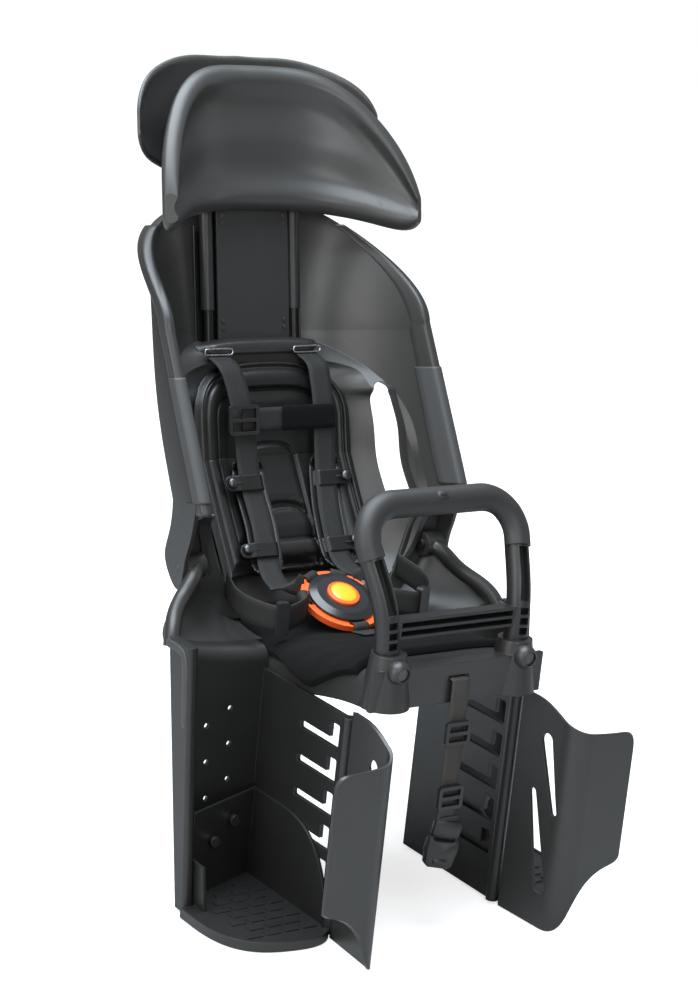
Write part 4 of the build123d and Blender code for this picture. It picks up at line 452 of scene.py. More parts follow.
def smooth_line(places, steps=12):
    """Points on a smooth line through the places."""
    places = np.array(places, float)
    padded = np.vstack([2 * places[0] - places[1], places, 2 * places[-1] - places[-2]])
    points = []
    for i in range(1, len(padded) - 2):
        p0, p1, p2, p3 = padded[i - 1 : i + 3]
        for k in range(steps):
            t = k / steps
            squared = (2 * p0 - 5 * p1 + 4 * p2 - p3) * t**2
            cubed = (3 * (p1 - p2) + p3 - p0) * t**3
            points.append(0.5 * (2 * p1 + (p2 - p0) * t + squared + cubed))
    points.append(places[-1])
    return np.array(points)


def along_line(points):
    """Distance along a line at each of its points."""
    return np.concatenate([[0.0], np.cumsum(np.linalg.norm(np.diff(points, axis=0), axis=1))])


# Faces of the part that the soft pieces lie on
def crown_width(h, half_width, start_h, top_h):
    share = np.clip((h - start_h) / (top_h - start_h), 0.0, 1.0)
    return half_width * (1 - share**SHELL_CROWN_POWER) ** (1 / SHELL_CROWN_POWER)


def shell_width(h):
    return crown_width(h, SHELL_HALF_WIDTH, 0.0, SHELL_TOP_H)


def shell_edge(h):
    crown = mix(SHELL_CROWN_D, SHELL_SHOULDER_D, smooth((SHELL_TOP_H - h) / SHELL_TOP_H))
    return crown + (SHELL_WING_D - SHELL_SHOULDER_D) * np.maximum(0.0, h / EDGE_PAD_BOTTOM_H)


def panel_depth(x, h):
    """Depth of the raised panel's face."""
    lumbar = np.maximum(0.0, (SHELL_LUMBAR_H - h) / (SHELL_LUMBAR_H - SHELL_BOTTOM_H))
    centre = mix(SHELL_LOWER_D, SHELL_LUMBAR_D, lumbar**SHELL_LUMBAR_POWER)
    share = np.clip(np.abs(x) / shell_width(h), 0.0, 1.0)
    return mix(centre, shell_edge(h), share**SHELL_BOW_POWER)


def wing_depth(x, h):
    """Depth of the wing's face, behind the raised panel's face."""
    drop = np.clip((PANEL_TOP_H - h) / (PANEL_TOP_H - EDGE_PAD_BOTTOM_H), 0.0, 1.0)
    share = np.clip(np.abs(x) / shell_width(h), 0.0, 1.0)
    return panel_depth(x, h) - mix(PANEL_STEP, PANEL_STEP_FOOT, drop) * (1 - share**SHELL_BOW_POWER)


def pan_height(x, y):
    along = (y - PAN_FRONT_Y) / (LUG_Y - PAN_FRONT_Y)
    half_width = mix(LIP_X, LUG_X, smooth(along))
    share = np.clip(np.abs(x) / half_width, 0.0, 1.0)
    return mix(PAN_CENTRE_Z, mix(LIP_TOP_Z, LUG_Z, along), share**PAN_POWER)


def saddle_face(y, turn):
    c, s = np.cos(turn), np.sin(turn)
    top = PAN_CENTRE_Z + SADDLE_RISE * smooth((PAN_FRONT_Y - y) / (PAN_FRONT_Y - SADDLE_FRONT_Y))
    x = SADDLE_HALF_WIDTH * square_off(c, 2 / SADDLE_POWER)
    return x, top - SADDLE_SKIRT * (1 - np.abs(s) ** (2 / SADDLE_POWER))


def lip_front_y(z):
    """Front of a leg guard's lip."""
    drop = (LIP_TOP_Z - z) / (LIP_TOP_Z - GUARD_BOTTOM_Z)
    wall = GUARD_REAR_Y + mix(GUARD_REAR_TOP_SHIFT, GUARD_REAR_BOTTOM_SHIFT, drop)
    return wall + LIP_REAR_OVERLAP - mix(LIP_TOP_DEPTH, LIP_BOTTOM_DEPTH, drop)


# Materials
def add_node(tree, kind, inputs=None, **settings):
    """A new shader node with its settings and its plain input values."""
    node = tree.nodes.new("ShaderNode" + kind)
    for name, value in settings.items():
        setattr(node, name, value)
    for name, value in (inputs or {}).items():
        node.inputs[name].default_value = value
    return node


def new_material(name, inputs=None):
    material = bpy.data.materials.new(name)
    material.use_nodes = True
    shader = material.node_tree.nodes["Principled BSDF"]
    for key, value in (inputs or {}).items():
        shader.inputs[key].default_value = value
    return material, material.node_tree, shader


def noise(tree, scale, detail=4.0, rough=0.5):
    coord = add_node(tree, "TexCoord")
    texture = add_node(tree, "TexNoise", {"Scale": scale, "Detail": detail, "Roughness": rough})
    tree.links.new(coord.outputs["Object"], texture.inputs["Vector"])
    return texture.outputs["Fac"]


def spread(tree, value, low, high):
    """Maps a 0 to 1 texture value to a range."""
    remap = add_node(tree, "MapRange", {"To Min": low, "To Max": high})
    tree.links.new(value, remap.inputs["Value"])
    return remap.outputs["Result"]


def blend_colours(tree, shader, share, low, high):
    blend = add_node(tree, "Mix", {"A": [*low, 1], "B": [*high, 1]}, data_type="RGBA")
    tree.links.new(share, blend.inputs["Factor"])
    tree.links.new(blend.outputs["Result"], shader.inputs["Base Color"])


def vary_colour(tree, shader, colour, amount, scale):
    """Base colour that drifts a little around its value."""
    low = [c * (1 - amount) for c in colour]
    high = [c * (1 + amount) for c in colour]
    blend_colours(tree, shader, noise(tree, scale), low, high)


def vary_roughness(tree, shader, low, high, scale):
    tree.links.new(spread(tree, noise(tree, scale), low, high), shader.inputs["Roughness"])


def add_bump(tree, shader, height, strength, distance, soften=0.0):
    """Bump from a texture, over edges that are softened by a radius in metres."""
    bump = add_node(tree, "Bump", {"Strength": strength, "Distance": distance})
    tree.links.new(height, bump.inputs["Height"])
    if soften:
        bevel = add_node(tree, "Bevel", {"Radius": soften}, samples=4)
        tree.links.new(bevel.outputs["Normal"], bump.inputs["Normal"])
    tree.links.new(bump.outputs["Normal"], shader.inputs["Normal"])


def plastic(name, colour, roughness, grain=0.08, grain_scale=1800.0, soften=0.0012):
    """Moulded plastic with a fine spark-eroded grain."""
    material, tree, shader = new_material(name)
    vary_colour(tree, shader, colour, amount=0.08, scale=18.0)
    vary_roughness(tree, shader, roughness - 0.04, roughness + 0.06, scale=45.0)
    add_bump(tree, shader, noise(tree, grain_scale, detail=2.0), grain, distance=0.0004, soften=soften)
    return material


def metal(name, colour, roughness):
    """Dark metal with fine scratches."""
    material, tree, shader = new_material(name, {"Metallic": 1.0})
    vary_colour(tree, shader, colour, amount=0.06, scale=60.0)
    vary_roughness(tree, shader, roughness - 0.05, roughness + 0.08, scale=240.0)
    scratches = noise(tree, 900.0, detail=3.0)
    add_bump(tree, shader, scratches, strength=0.05, distance=0.0003, soften=0.0006)
    return material


def leather(name, colour, roughness):
    """Coated leather with a pebbled grain."""
    material, tree, shader = new_material(name)
    vary_colour(tree, shader, colour, amount=0.12, scale=25.0)
    vary_roughness(tree, shader, roughness - 0.06, roughness + 0.08, scale=70.0)
    coord = add_node(tree, "TexCoord")
    pebbles = add_node(tree, "TexVoronoi", {"Scale": 650.0})
    tree.links.new(coord.outputs["Object"], pebbles.inputs["Vector"])
    add_bump(tree, shader, pebbles.outputs["Distance"], strength=0.22, distance=0.0004)
    return material


def felt(name, colour):
    """Flocked felt: a soft nap with a faint sheen."""
    sheen = {"Sheen Weight": 0.02, "Sheen Roughness": 0.4}
    material, tree, shader = new_material(name, {"Roughness": 0.9, "Specular IOR Level": 0.12, **sheen})
    vary_colour(tree, shader, colour, amount=0.35, scale=90.0)
    add_bump(tree, shader, noise(tree, 1400.0, detail=6.0, rough=0.7), strength=0.7, distance=0.0008)
    return material


def webbing(name, colour):
    """Woven strap: twill ribs and rows, from its own flat coordinates in millimetres."""
    material, tree, shader = new_material(name, {"Roughness": 0.62})
    flat = add_node(tree, "UVMap", uv_map="flat")
    ribs = add_node(tree, "TexWave", {"Scale": 0.30, "Distortion": 0.4}, bands_direction="DIAGONAL")
    rows = add_node(tree, "TexWave", {"Scale": 0.30}, bands_direction="Y")
    weave = add_node(tree, "Math", operation="ADD")
    for socket, wave in zip(weave.inputs, (ribs, rows)):
        tree.links.new(flat.outputs["UV"], wave.inputs["Vector"])
        tree.links.new(wave.outputs["Fac"], socket)
    dark_share, light_share = 0.35, 2.1
    low = [c * dark_share for c in colour]
    high = [c * light_share for c in colour]
    blend_colours(tree, shader, ribs.outputs["Fac"], low, high)
    add_bump(tree, shader, weave.outputs["Value"], strength=0.5, distance=0.0004)
    return material


SHELL = plastic("moulded_shell", (0.0225, 0.0221, 0.0214), 0.38)
DARK = plastic("moulded_dark", (0.0125, 0.0125, 0.013), 0.40, soften=0.0008)
# Leg guards and foot trays: the shell's plastic made darker, as painted shade for the shaded leg wells
SHADED_GUARD = plastic("guard_painted_shade", (0.0105, 0.0102, 0.0098), 0.42)
# Headrest: the shell's plastic made lighter, as painted light where the soft light from top and front falls
# on it
LIT_HEADREST = plastic("headrest_painted_light", (0.034, 0.0335, 0.0327), 0.38)
GRIP = plastic("soft_grip", (0.017, 0.017, 0.017), 0.52, grain=0.2, grain_scale=900.0)
PAD_GREY = plastic("soft_edge", (0.040, 0.041, 0.042), 0.56, grain=0.2, grain_scale=1200.0)
PLATE = plastic("painted_plate", (0.019, 0.019, 0.0192), 0.46, grain=0.14, grain_scale=2600.0)
STEEL = metal("dark_steel", (0.10, 0.10, 0.105), 0.36)
WIRE = metal("bright_wire", (0.45, 0.45, 0.47), 0.26)
POST_BLACK = metal("black_post", (0.035, 0.035, 0.036), 0.34)
LEATHER = leather("black_leather", (0.0075, 0.0074, 0.0072), 0.40)
FELT = felt("felt", (0.0035, 0.0035, 0.0035))
WEBBING = webbing("webbing", (0.0055, 0.0054, 0.0052))
WEBBING_BROWN = webbing("webbing_front", (0.028, 0.025, 0.022))
HOOK_STRIP = felt("hook_strip", (0.0045, 0.0045, 0.0047))
# Near-black plastic for the grip's pocket: painted shade of the recess
POCKET_SHADE = plastic("pocket_painted_shade", (0.002, 0.002, 0.002), 0.8)
ORANGE = plastic("orange_plastic", (0.88, 0.12, 0.02), 0.30, grain=0.03)
YELLOW = plastic("button_face", (0.88, 0.42, 0.02), 0.28, grain=0.03)
LID = plastic("lid_plastic", (0.014, 0.0145, 0.016), 0.24, grain=0.03)

BY_SLOT = {
    "shell_plastic": SHELL,
    "dark_plastic": DARK,
    "soft_grip": GRIP,
    "soft_pad": PAD_GREY,
    "plate_metal": PLATE,
    "steel": STEEL,
    "leather": LEATHER,
    "felt": FELT,
    "webbing": WEBBING,
    "orange": ORANGE,
    "lid_plastic": LID,
}
# Headrest pad and cover take the lighter copy of the shell plastic, which is painted light
BY_NODE = {"headrest_pad": LIT_HEADREST, "headrest_cover": LIT_HEADREST}
for name, _ in SIDES:
    BY_NODE[f"{name}_post"] = POST_BLACK
    # Leg guards and foot trays take the darker copy of the shell plastic, which is painted shade
    BY_NODE[f"{name}_leg_guard"] = SHADED_GUARD
    BY_NODE[f"{name}_foot_tray"] = SHADED_GUARD
for part in frame["record"]["subparts"]:
    node = NODES[part["node"]]
    node.data.materials.clear()
    node.data.materials.append(BY_NODE.get(part["node"], BY_SLOT[part["material_slot"]]))


# Meshes
def make_piece(name, mesh, material, body="seat"):
    mesh.name = name
    mesh.materials.append(material)
    work = bmesh.new()
    work.from_mesh(mesh)
    bmesh.ops.recalc_face_normals(work, faces=work.faces)
    work.to_mesh(mesh)
    work.free()
    mesh.shade_smooth()
    piece = bpy.data.objects.new(name, mesh)
    bpy.context.scene.collection.objects.link(piece)
    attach(piece, body)
    return piece


def new_mesh(points, faces):
    mesh = bpy.data.meshes.new("mesh")
    mesh.from_pydata((points.reshape(-1, 3) * MM).tolist(), [], faces)
    return mesh


def grid_faces(rows, columns, start=0):
    faces = []
    for row in range(rows - 1):
        for column in range(columns - 1):
            a = start + row * columns + column
            faces.append((a, a + 1, a + columns + 1, a + columns))
    return faces


def slab_mesh(face, thickness, lift=0.0):
    """Closed sheet on a grid of points: its underside stands lift off the grid, and thickness may vary."""
    rows, columns = face.shape[:2]
    normal = unit(np.cross(np.gradient(face, axis=1), np.gradient(face, axis=0)))
    under = face + normal * lift
    top = under + normal * np.broadcast_to(thickness, (rows, columns))[..., None]
    count = rows * columns
    faces = grid_faces(rows, columns) + grid_faces(rows, columns, count)
    ring = list(range(columns)) + [row * columns + columns - 1 for row in range(1, rows)]
    ring += list(range(count - 2, count - columns - 1, -1))
    ring += [row * columns for row in range(rows - 2, 0, -1)]
    for a, b in zip(ring, ring[1:] + ring[:1]):
        faces.append((a, b, b + count, a + count))
    return new_mesh(np.stack([top, under]), faces)


def tube_mesh(sections, flat=None):
    """Closed skin through a row of closed sections, with caps; flat gives each point's cloth coordinates."""
    sections = np.array(sections)
    rows, columns = sections.shape[:2]
    faces = []
    for row in range(rows - 1):
        for column in range(columns):
            a = row * columns + column
            b = row * columns + (column + 1) % columns
            faces.append((a, b, b + columns, a + columns))
    faces.append(tuple(range(columns)))
    faces.append(tuple((rows - 1) * columns + column for column in range(columns)))
    mesh = new_mesh(sections, faces)
    if flat is not None:
        layer = mesh.uv_layers.new(name="flat")
        values = flat.reshape(-1, 2)
        for loop in mesh.loops:
            layer.data[loop.index].uv = values[loop.vertex_index]
    return mesh


def strap_mesh(line, across, width=WEBBING_WIDTH, thickness=WEBBING_THICKNESS):
    """Flat strap with rounded edges along a line; across is its width's direction at each point."""
    run = unit(np.gradient(line, axis=0))
    across = unit(np.broadcast_to(np.array(across, float), line.shape))
    out = unit(np.cross(across, run))
    half, edge = width / 2, thickness / 2
    low = [(a, -edge) for a in (edge - half, -half / 2, 0.0, half / 2, half - edge)]
    high = [(-a, edge) for a, _ in low]
    shape = [(-half, 0.0)] + low + [(half, 0.0)] + high
    sections = np.stack([line + across * a + out * b for a, b in shape], axis=1)
    length = along_line(line)
    flat = np.stack([np.stack([np.full_like(length, a), length], axis=-1) for a, _ in shape], axis=1)
    return tube_mesh(sections, flat)


def prism_mesh(outline, thickness, place):
    """Flat moulding with softened edges: its outline is in the place's x and z, and it is thick along y."""
    outline = np.array(outline, float)
    outward = unit(outline - outline.mean(axis=0))
    edge, straight = thickness / 2, thickness / 2 - PRISM_CHAMFER_RUN
    sections = []
    for y, shrink in ((-edge, PRISM_CHAMFER), (-straight, 0.0), (straight, 0.0), (edge, PRISM_CHAMFER)):
        sections.append([tuple(place @ Vector((x, y, z))) for x, z in outline - outward * shrink])
    return tube_mesh(sections)


def both_halves(half):
    """A closed outline from its half at +x, which runs from the middle out and back to the middle."""
    return [(-x, z) for x, z in half] + [(x, z) for x, z in reversed(half)]


# Back pad: piping round its edge, a bolster inside it, and a column of arched cushions
def edge_distance(x, h, half_width, start_h, top_h):
    """Rough distance in from the outline of a panel with a rounded top."""
    power = SHELL_CROWN_POWER
    a = np.abs(x) / half_width
    b = np.maximum(0.0, (h - start_h) / (top_h - start_h))
    reach = np.maximum((a**power + b**power) ** (1 / power), TINY)
    slope_x = (a / reach) ** (power - 1) / half_width
    slope_h = (b / reach) ** (power - 1) / (top_h - start_h)
    return (1 - reach) / np.maximum(np.hypot(slope_x, slope_h), TINY)


def bead(distance, centre, radius):
    return np.sqrt(np.maximum(0.0, radius**2 - (distance - centre) ** 2))


def groove(distance, depth, width):
    return depth * np.exp(-((distance / width) ** 2))


def closer_at_ends(values, share):
    """Moves a row of values from 0 to 1, or -1 to 1, closer together at its upper end, or at both ends."""
    return mix(values, np.sin(values * math.pi / 2), share)


def make_back_pad():
    outline = (BACK_PAD_HALF_WIDTH, BACK_PAD_CROWN_H, BACK_PAD_TOP_H)
    v = closer_at_ends(np.linspace(0.0, 1.0, BACK_PAD_GRID[0]), BACK_PAD_CLOSING[0])
    u = closer_at_ends(np.linspace(-1.0, 1.0, BACK_PAD_GRID[1]), BACK_PAD_CLOSING[1])
    h = mix(BACK_PAD_BOTTOM_H, BACK_PAD_TOP_H - BACK_PAD_TOP_GAP, v)[:, None] + 0 * u
    x = crown_width(h, *outline) * u
    edge = np.minimum(edge_distance(x, h, *outline), h - BACK_PAD_BOTTOM_H)
    thick = BACK_PAD_THICKNESS * np.sqrt(smooth(edge / BACK_PAD_BORDER))
    for centre, radius in PIPING:
        thick = np.maximum(thick, PIPING_BASE * smooth(edge / PIPING_ROUND) + bead(edge, centre, radius))
    bolster = np.clip((edge - BACK_PAD_BORDER) / (BOLSTER_INNER - BACK_PAD_BORDER), 0.0, 1.0)
    thick += BOLSTER_RISE * bead(2 * bolster, 1.0, 1.0) * (edge > BACK_PAD_BORDER)
    thick += MIDDLE_RISE * smooth((edge - BOLSTER_INNER) / MIDDLE_ROUND)
    thick -= groove(edge - BOLSTER_INNER, BOLSTER_SEAM_DEPTH, BOLSTER_SEAM_WIDTH)
    seams = np.full_like(x, np.inf)
    inside = np.zeros_like(x)
    for top in CUSHION_TOPS_H:
        depth = edge_distance(x, h, CUSHION_HALF_WIDTH, top - CUSHION_CROWN, top)
        seams = np.minimum(seams, np.abs(depth))
        inside = np.maximum(inside, depth > 0)
    thick += inside * CUSHION_RISE * smooth(seams / CUSHION_ROUND)
    thick -= groove(seams, CUSHION_SEAM_DEPTH, CUSHION_SEAM_WIDTH)
    thick += inside * bead(seams, *CUSHION_BEAD)
    mesh = slab_mesh(on_back(x, panel_depth(x, h), h), np.maximum(thick, PAD_LEAST), PAD_LIFT)
    pad = make_piece("back_pad_cover", mesh, LEATHER)
    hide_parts("back_pad")


def make_snaps():
    """Small domed snaps on the back pad's upper corners."""
    for name, side in SIDES:
        x = side * SNAP_X
        base = float(panel_depth(x, SNAP_H)) + PAD_LIFT + SNAP_LIFT
        sections = []
        for share in np.linspace(0.0, 1.0, SNAP_GRID[0]):
            radius = SNAP_RADIUS * math.sqrt(max(SNAP_TOP_SHARE, 1 - share**2))
            d = base + SNAP_HEIGHT * share
            sections.append([on_back(x + a, d, SNAP_H + b) for a, b in circle(radius, SNAP_GRID[1])])
        make_piece(f"{name}_snap", tube_mesh(sections), POST_BLACK)


# Seat pad: felt over the pan and the saddle, with tongues that drape over the saddle's sides
def make_seat_pad():
    y = np.linspace(SEAT_PAD_FRONT_Y, SEAT_PAD_REAR_Y, SEAT_PAD_GRID[0])[:, None]
    u = np.linspace(-1.0, 1.0, SEAT_PAD_GRID[1])[None, :]
    drape = smooth(1 - np.abs(y - SEAT_PAD_DRAPE_Y) / SEAT_PAD_DRAPE_LENGTH)
    start = np.radians(mix(SEAT_PAD_EDGE_DEG, SEAT_PAD_DRAPE_DEG, drape))
    saddle_x, saddle_z = saddle_face(y, math.pi / 2 - u * (math.pi / 2 - start))
    pan_x = SEAT_PAD_REAR_HALF_WIDTH * u + 0 * y
    share = smooth((y - PAN_FRONT_Y + SEAT_PAD_BLEND_LEAD) / SEAT_PAD_BLEND_LENGTH)
    x = mix(saddle_x, pan_x, share)
    z = mix(saddle_z, pan_height(pan_x, np.maximum(y, PAN_FRONT_Y)), share)
    face = np.stack(np.broadcast_arrays(x, y, z), axis=-1)
    ends = np.minimum(y - SEAT_PAD_FRONT_Y, SEAT_PAD_REAR_Y - y)
    edge = np.minimum((1 - np.abs(u)) * SADDLE_HALF_WIDTH, ends)
    long_wave = np.sin(SEAT_PAD_WAVE_Y[0] * y + SEAT_PAD_WAVE_SLANT * u)
    waves = long_wave * np.sin(SEAT_PAD_WAVE_X * x + SEAT_PAD_WAVE_Y[1] * y)
    fade = smooth(edge / (SEAT_PAD_REAR_Y - SEAT_PAD_FRONT_Y) * SEAT_PAD_RIPPLE_FADE)
    thick = SEAT_PAD_THICKNESS * np.sqrt(smooth(edge / SEAT_PAD_EDGE_ROUND)) + SEAT_PAD_RIPPLE * waves * fade
    mesh = slab_mesh(face, np.maximum(thick, PAD_LEAST), PAD_LIFT)
    pad = make_piece("seat_pad_felt", mesh, FELT)
    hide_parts("seat_pad")


# Wing rims, their soft covers and the lip covers
def rim_section(h, lift, reach):
    """Rounded cap round the front edge of a wing at h, as x and -d, standing lift off it."""
    width, edge = float(shell_width(h)), float(shell_edge(h))
    steps = np.linspace(reach, RIM_INNER_START, RIM_INNER_COUNT)
    inner = [(width - s, -float(wing_depth(width - s, h))) for s in steps]
    front = np.array((width, -edge))
    into = unit(np.array(inner[-1]) - front)
    out = np.array((-into[1], into[0]))
    if out[0] < 0:
        out = -out
    centre = front + out * SHELL_EDGE_WALL / 2
    points = [np.array(point) - out * mix(-RIM_SINK, lift, min(1.0, i / 2)) for i, point in enumerate(inner)]
    for turn in np.linspace(math.pi, 0.0, RIM_NOSE_COUNT):
        wide = (SHELL_EDGE_WALL / 2 + lift) * math.cos(turn)
        nose = (RIM_NOSE + lift) * math.sin(turn) ** RIM_NOSE_POWER
        points.append(centre + out * wide - into * nose)
    far = front + out * SHELL_EDGE_WALL
    for i, s in enumerate(np.linspace(RIM_OUTER_START, RIM_OUTER_REACH, RIM_OUTER_COUNT)):
        points.append(far + out * mix(lift, -RIM_SINK, max(0.0, (i - 2) / 2)) + np.array((0.0, s)))
    points.append(centre + into * RIM_OUTER_REACH / 2)
    return points


def rim_mesh(side, heights, lift, reach):
    return tube_mesh([[on_back(side * x, -y, h) for x, y in rim_section(h, lift, reach)] for h in heights])


def make_wing_trim():
    for name, side in SIDES:
        heights = np.linspace(RIM_BOTTOM_H, RIM_TOP_H, RIM_COUNT)
        mesh = rim_mesh(side, heights, RIM_LIFT, RIM_INNER_REACH)
        make_piece(f"{name}_wing_rim", mesh, SHELL)
        heights = np.linspace(EDGE_PAD_BOTTOM_H, EDGE_PAD_TOP_H, EDGE_COVER_COUNT)
        mesh = rim_mesh(side, heights, EDGE_COVER_LIFT, EDGE_COVER_INNER_REACH)
        pad = make_piece(f"{name}_edge_cover", mesh, PAD_GREY)
        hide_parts(f"{name}_edge_pad")


def make_lip_pads():
    """Soft caps that come forward off the pan's rims and turn down the lips' fronts."""
    for name, side in SIDES:
        low, high = [np.array(corner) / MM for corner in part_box(f"{name}_lip_pad")]
        top = high[2]
        places = [(y, top - drop) for y, drop in LIP_COVER_RIM_PLACES]
        for setback, front_drop, drop in LIP_COVER_BEND_PLACES:
            places.append((lip_front_y(top - front_drop) + setback, top - drop))
        for z in np.linspace(top - LIP_COVER_FRONT_DROP, low[2], LIP_COVER_FRONT_COUNT):
            places.append((lip_front_y(z) + LIP_COVER_FRONT_SETBACK, z))
        line = smooth_line([(side * LIP_X, y, z) for y, z in places])
        out = unit(np.cross(unit(np.gradient(line, axis=0)), SIDEWAYS))
        length = along_line(line)
        ends = np.minimum(length, length[-1] - length) / LIP_COVER_TAPER
        swell = np.sqrt(1 - (1 - np.clip(ends, LIP_COVER_END_SHARE, 1.0)) ** 2)
        sections = []
        for turn in turns(LIP_COVER_ROUND_COUNT):
            wide = square_off(math.cos(turn), LIP_COVER_POWER) * (LIP_WIDTH / 2 + LIP_COVER_RISE)
            deep = square_off(math.sin(turn), LIP_COVER_POWER) * LIP_COVER_DEPTH
            sections.append(line + SIDEWAYS * (wide * swell)[:, None] + out * (deep * swell)[:, None])
        pad = make_piece(f"{name}_lip_cover", tube_mesh(np.stack(sections, axis=1)), PAD_GREY)
        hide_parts(f"{name}_lip_pad")


# Walls that close the wings' lower ends, the channels behind the posts and the strap ledge
def make_waist_webs():
    line = smooth_line([(0.0, d, h) for d, h in WAIST_WEB_PLACES], WAIST_WEB_GRID[0])
    for name, side in SIDES:
        rows = []
        for _, d, h in line:
            centre, edge = float(panel_depth(0.0, h)), float(shell_edge(h))
            share = max(0.0, (d - centre) / (edge - centre)) ** (1 / SHELL_BOW_POWER)
            inner = SHELL_HALF_WIDTH * share - WAIST_WEB_OVERLAP
            u = np.linspace(0.0, 1.0, WAIST_WEB_GRID[1])
            x = mix(inner, WAIST_WEB_OUTER_X, u)
            rows.append(on_back(side * x, d - WAIST_WEB_BOW * np.sin(math.pi * u), h))
        make_piece(f"{name}_waist_web", slab_mesh(np.array(rows), WAIST_WEB_WALL), SHELL)


def make_post_cheeks():
    """Guide channels behind the posts, inside the shell's slide opening."""
    for name, side in SIDES:
        heights = np.linspace(CHEEK_BOTTOM_H, CHEEK_TOP_H, CHEEK_COUNT)
        face = np.array([[on_back(side * x, d, h) for x, d in CHEEK_SECTION] for h in heights])
        make_piece(f"{name}_post_cheek", slab_mesh(face, CHEEK_WALL), DARK)


def wire_loop(name, centre):
    """Bent wire loop with rounded corners, flat on the backrest."""
    loop = np.linspace(0.0, 2 * math.pi, STRAP_WIRE_GRID[0])
    u = square_off(np.cos(loop), STRAP_WIRE_CORNER_POWER) * STRAP_WIRE_HALF_WIDTH
    v = square_off(np.sin(loop), STRAP_WIRE_CORNER_POWER) * STRAP_WIRE_HALF_HEIGHT
    line = centre + u[:, None] * SIDEWAYS + v[:, None] * BACK_UP
    run = np.roll(line[:-1], -1, axis=0) - np.roll(line[:-1], 1, axis=0)
    run = unit(np.vstack([run, run[:1]]))
    depth = np.broadcast_to(unit(np.cross(SIDEWAYS, BACK_UP)), line.shape)
    out = unit(np.cross(run, depth))
    ring = circle(STRAP_WIRE_RADIUS, STRAP_WIRE_GRID[1])
    sections = np.stack([line + out * a + depth * b for a, b in ring], axis=1)
    make_piece(name, tube_mesh(sections), WIRE)


def make_strap_ledge():
    """Moulded ledge over the back pad, with a wire loop round each strap's slot."""
    rear, bottom, low_edge = STRAP_LEDGE_REAR_D, STRAP_LEDGE_BOTTOM_H, STRAP_LEDGE_LOW_EDGE
    sections = []
    for x in np.linspace(-STRAP_LEDGE_HALF_WIDTH, STRAP_LEDGE_HALF_WIDTH, STRAP_LEDGE_COUNT):
        reach = abs(x) / STRAP_LEDGE_HALF_WIDTH
        rounding = smooth((reach - STRAP_LEDGE_ROUND_FROM) / (1 - STRAP_LEDGE_ROUND_FROM))
        front = mix(STRAP_LEDGE_FRONT_D, STRAP_LEDGE_END_D, rounding)
        top = mix(STRAP_LEDGE_TOP_H, STRAP_LEDGE_END_TOP_H, reach**3)
        shape = [(rear, bottom), (front - low_edge, bottom), (front, bottom + low_edge)]
        shape += [(front - inset, top - drop) for inset, drop in STRAP_LEDGE_HIGH_EDGE]
        shape += [(rear, top + STRAP_LEDGE_REAR_RISE)]
        sections.append([on_back(x, d, h) for d, h in shape])
    ledge = make_piece("ledge_moulding", tube_mesh(sections), SHELL)
    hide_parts("strap_ledge")
    x, d, h = STRAP_TOP
    for name, side in SIDES:
        wire_loop(f"{name}_strap_wire", on_back(side * x, d + STRAP_WIRE_D_SHIFT, h + STRAP_WIRE_H_SHIFT))


# Harness straps
def shoulder_line(side):
    places = (STRAP_TOP,) + SHOULDER_PLACES
    last = len(places) - 1
    points = []
    for i, (x, d, h) in enumerate(places):
        sway = SHOULDER_SWAY * math.sin(math.pi * i / last) ** 2
        points.append(on_back(side * x + sway, d, h))
    return smooth_line(points)


def strap_frame(line, share):
    """Point, run and outward direction at a share of a shoulder strap's length."""
    length = along_line(line)
    i = int(np.searchsorted(length, share * length[-1]))
    run = unit(line[min(i + 1, len(line) - 1)] - line[max(i - 1, 0)])
    return line[i], run, unit(np.cross(run, SIDEWAYS))


def make_wrap(name, line):
    """Leather backing behind a strap, with rounded ends."""
    face = []
    for share in np.linspace(WRAP_START, WRAP_END, WRAP_GRID[0]):
        point, run, out = strap_frame(line, share)
        end = min(share - WRAP_START, WRAP_END - share) / (WRAP_END - WRAP_START) * WRAP_ROUND_RATIO
        half = WRAP_WIDTH / 2 * math.sqrt(1 - (1 - min(1.0, end + WRAP_END_SHARE)) ** 2)
        row = []
        for u in np.linspace(-1.0, 1.0, WRAP_GRID[1]):
            setback = WEBBING_THICKNESS / 2 + WRAP_SETBACK - WRAP_CURL * abs(u) ** 3
            row.append(point - out * setback + SIDEWAYS * half * u)
        face.append(row)
    wrap = make_piece(f"{name}_wrap_leather", slab_mesh(np.array(face), WRAP_THICKNESS), LEATHER)
    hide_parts(f"{name}_shoulder_wrap")


def make_tab(name, line, side, share):
    """Leather tab over a strap: round at its stud, turned back round the strap at its other end."""
    point, run, out = strap_frame(line, share)
    outer = side * (TAB_SHIFT + TAB_LENGTH / 2)
    inner = side * (TAB_SHIFT - TAB_LENGTH / 2)
    face = []
    for s in np.linspace(0.0, 1.0, TAB_GRID[0]):
        across = mix(outer, inner, s)
        from_end = abs(across - outer)
        half = TAB_WIDTH / 2
        if from_end < half:
            half = math.sqrt(max(TAB_END_SQUARE, half**2 - (half - from_end) ** 2))
        tuck = TAB_TUCK * smooth((s - TAB_TUCK_FROM) / (1 - TAB_TUCK_FROM))
        sag = TAB_SAG * smooth((abs(across) - WEBBING_WIDTH / 2) / TAB_SAG_LENGTH) * (s < 0.5)
        centre = point + SIDEWAYS * across + out * (WEBBING_THICKNESS / 2 + TAB_LIFT - tuck - sag)
        face.append([centre + run * half * w for w in np.linspace(-1.0, 1.0, TAB_GRID[1])])
    return make_piece(name, slab_mesh(np.array(face), TAB_THICKNESS), LEATHER)


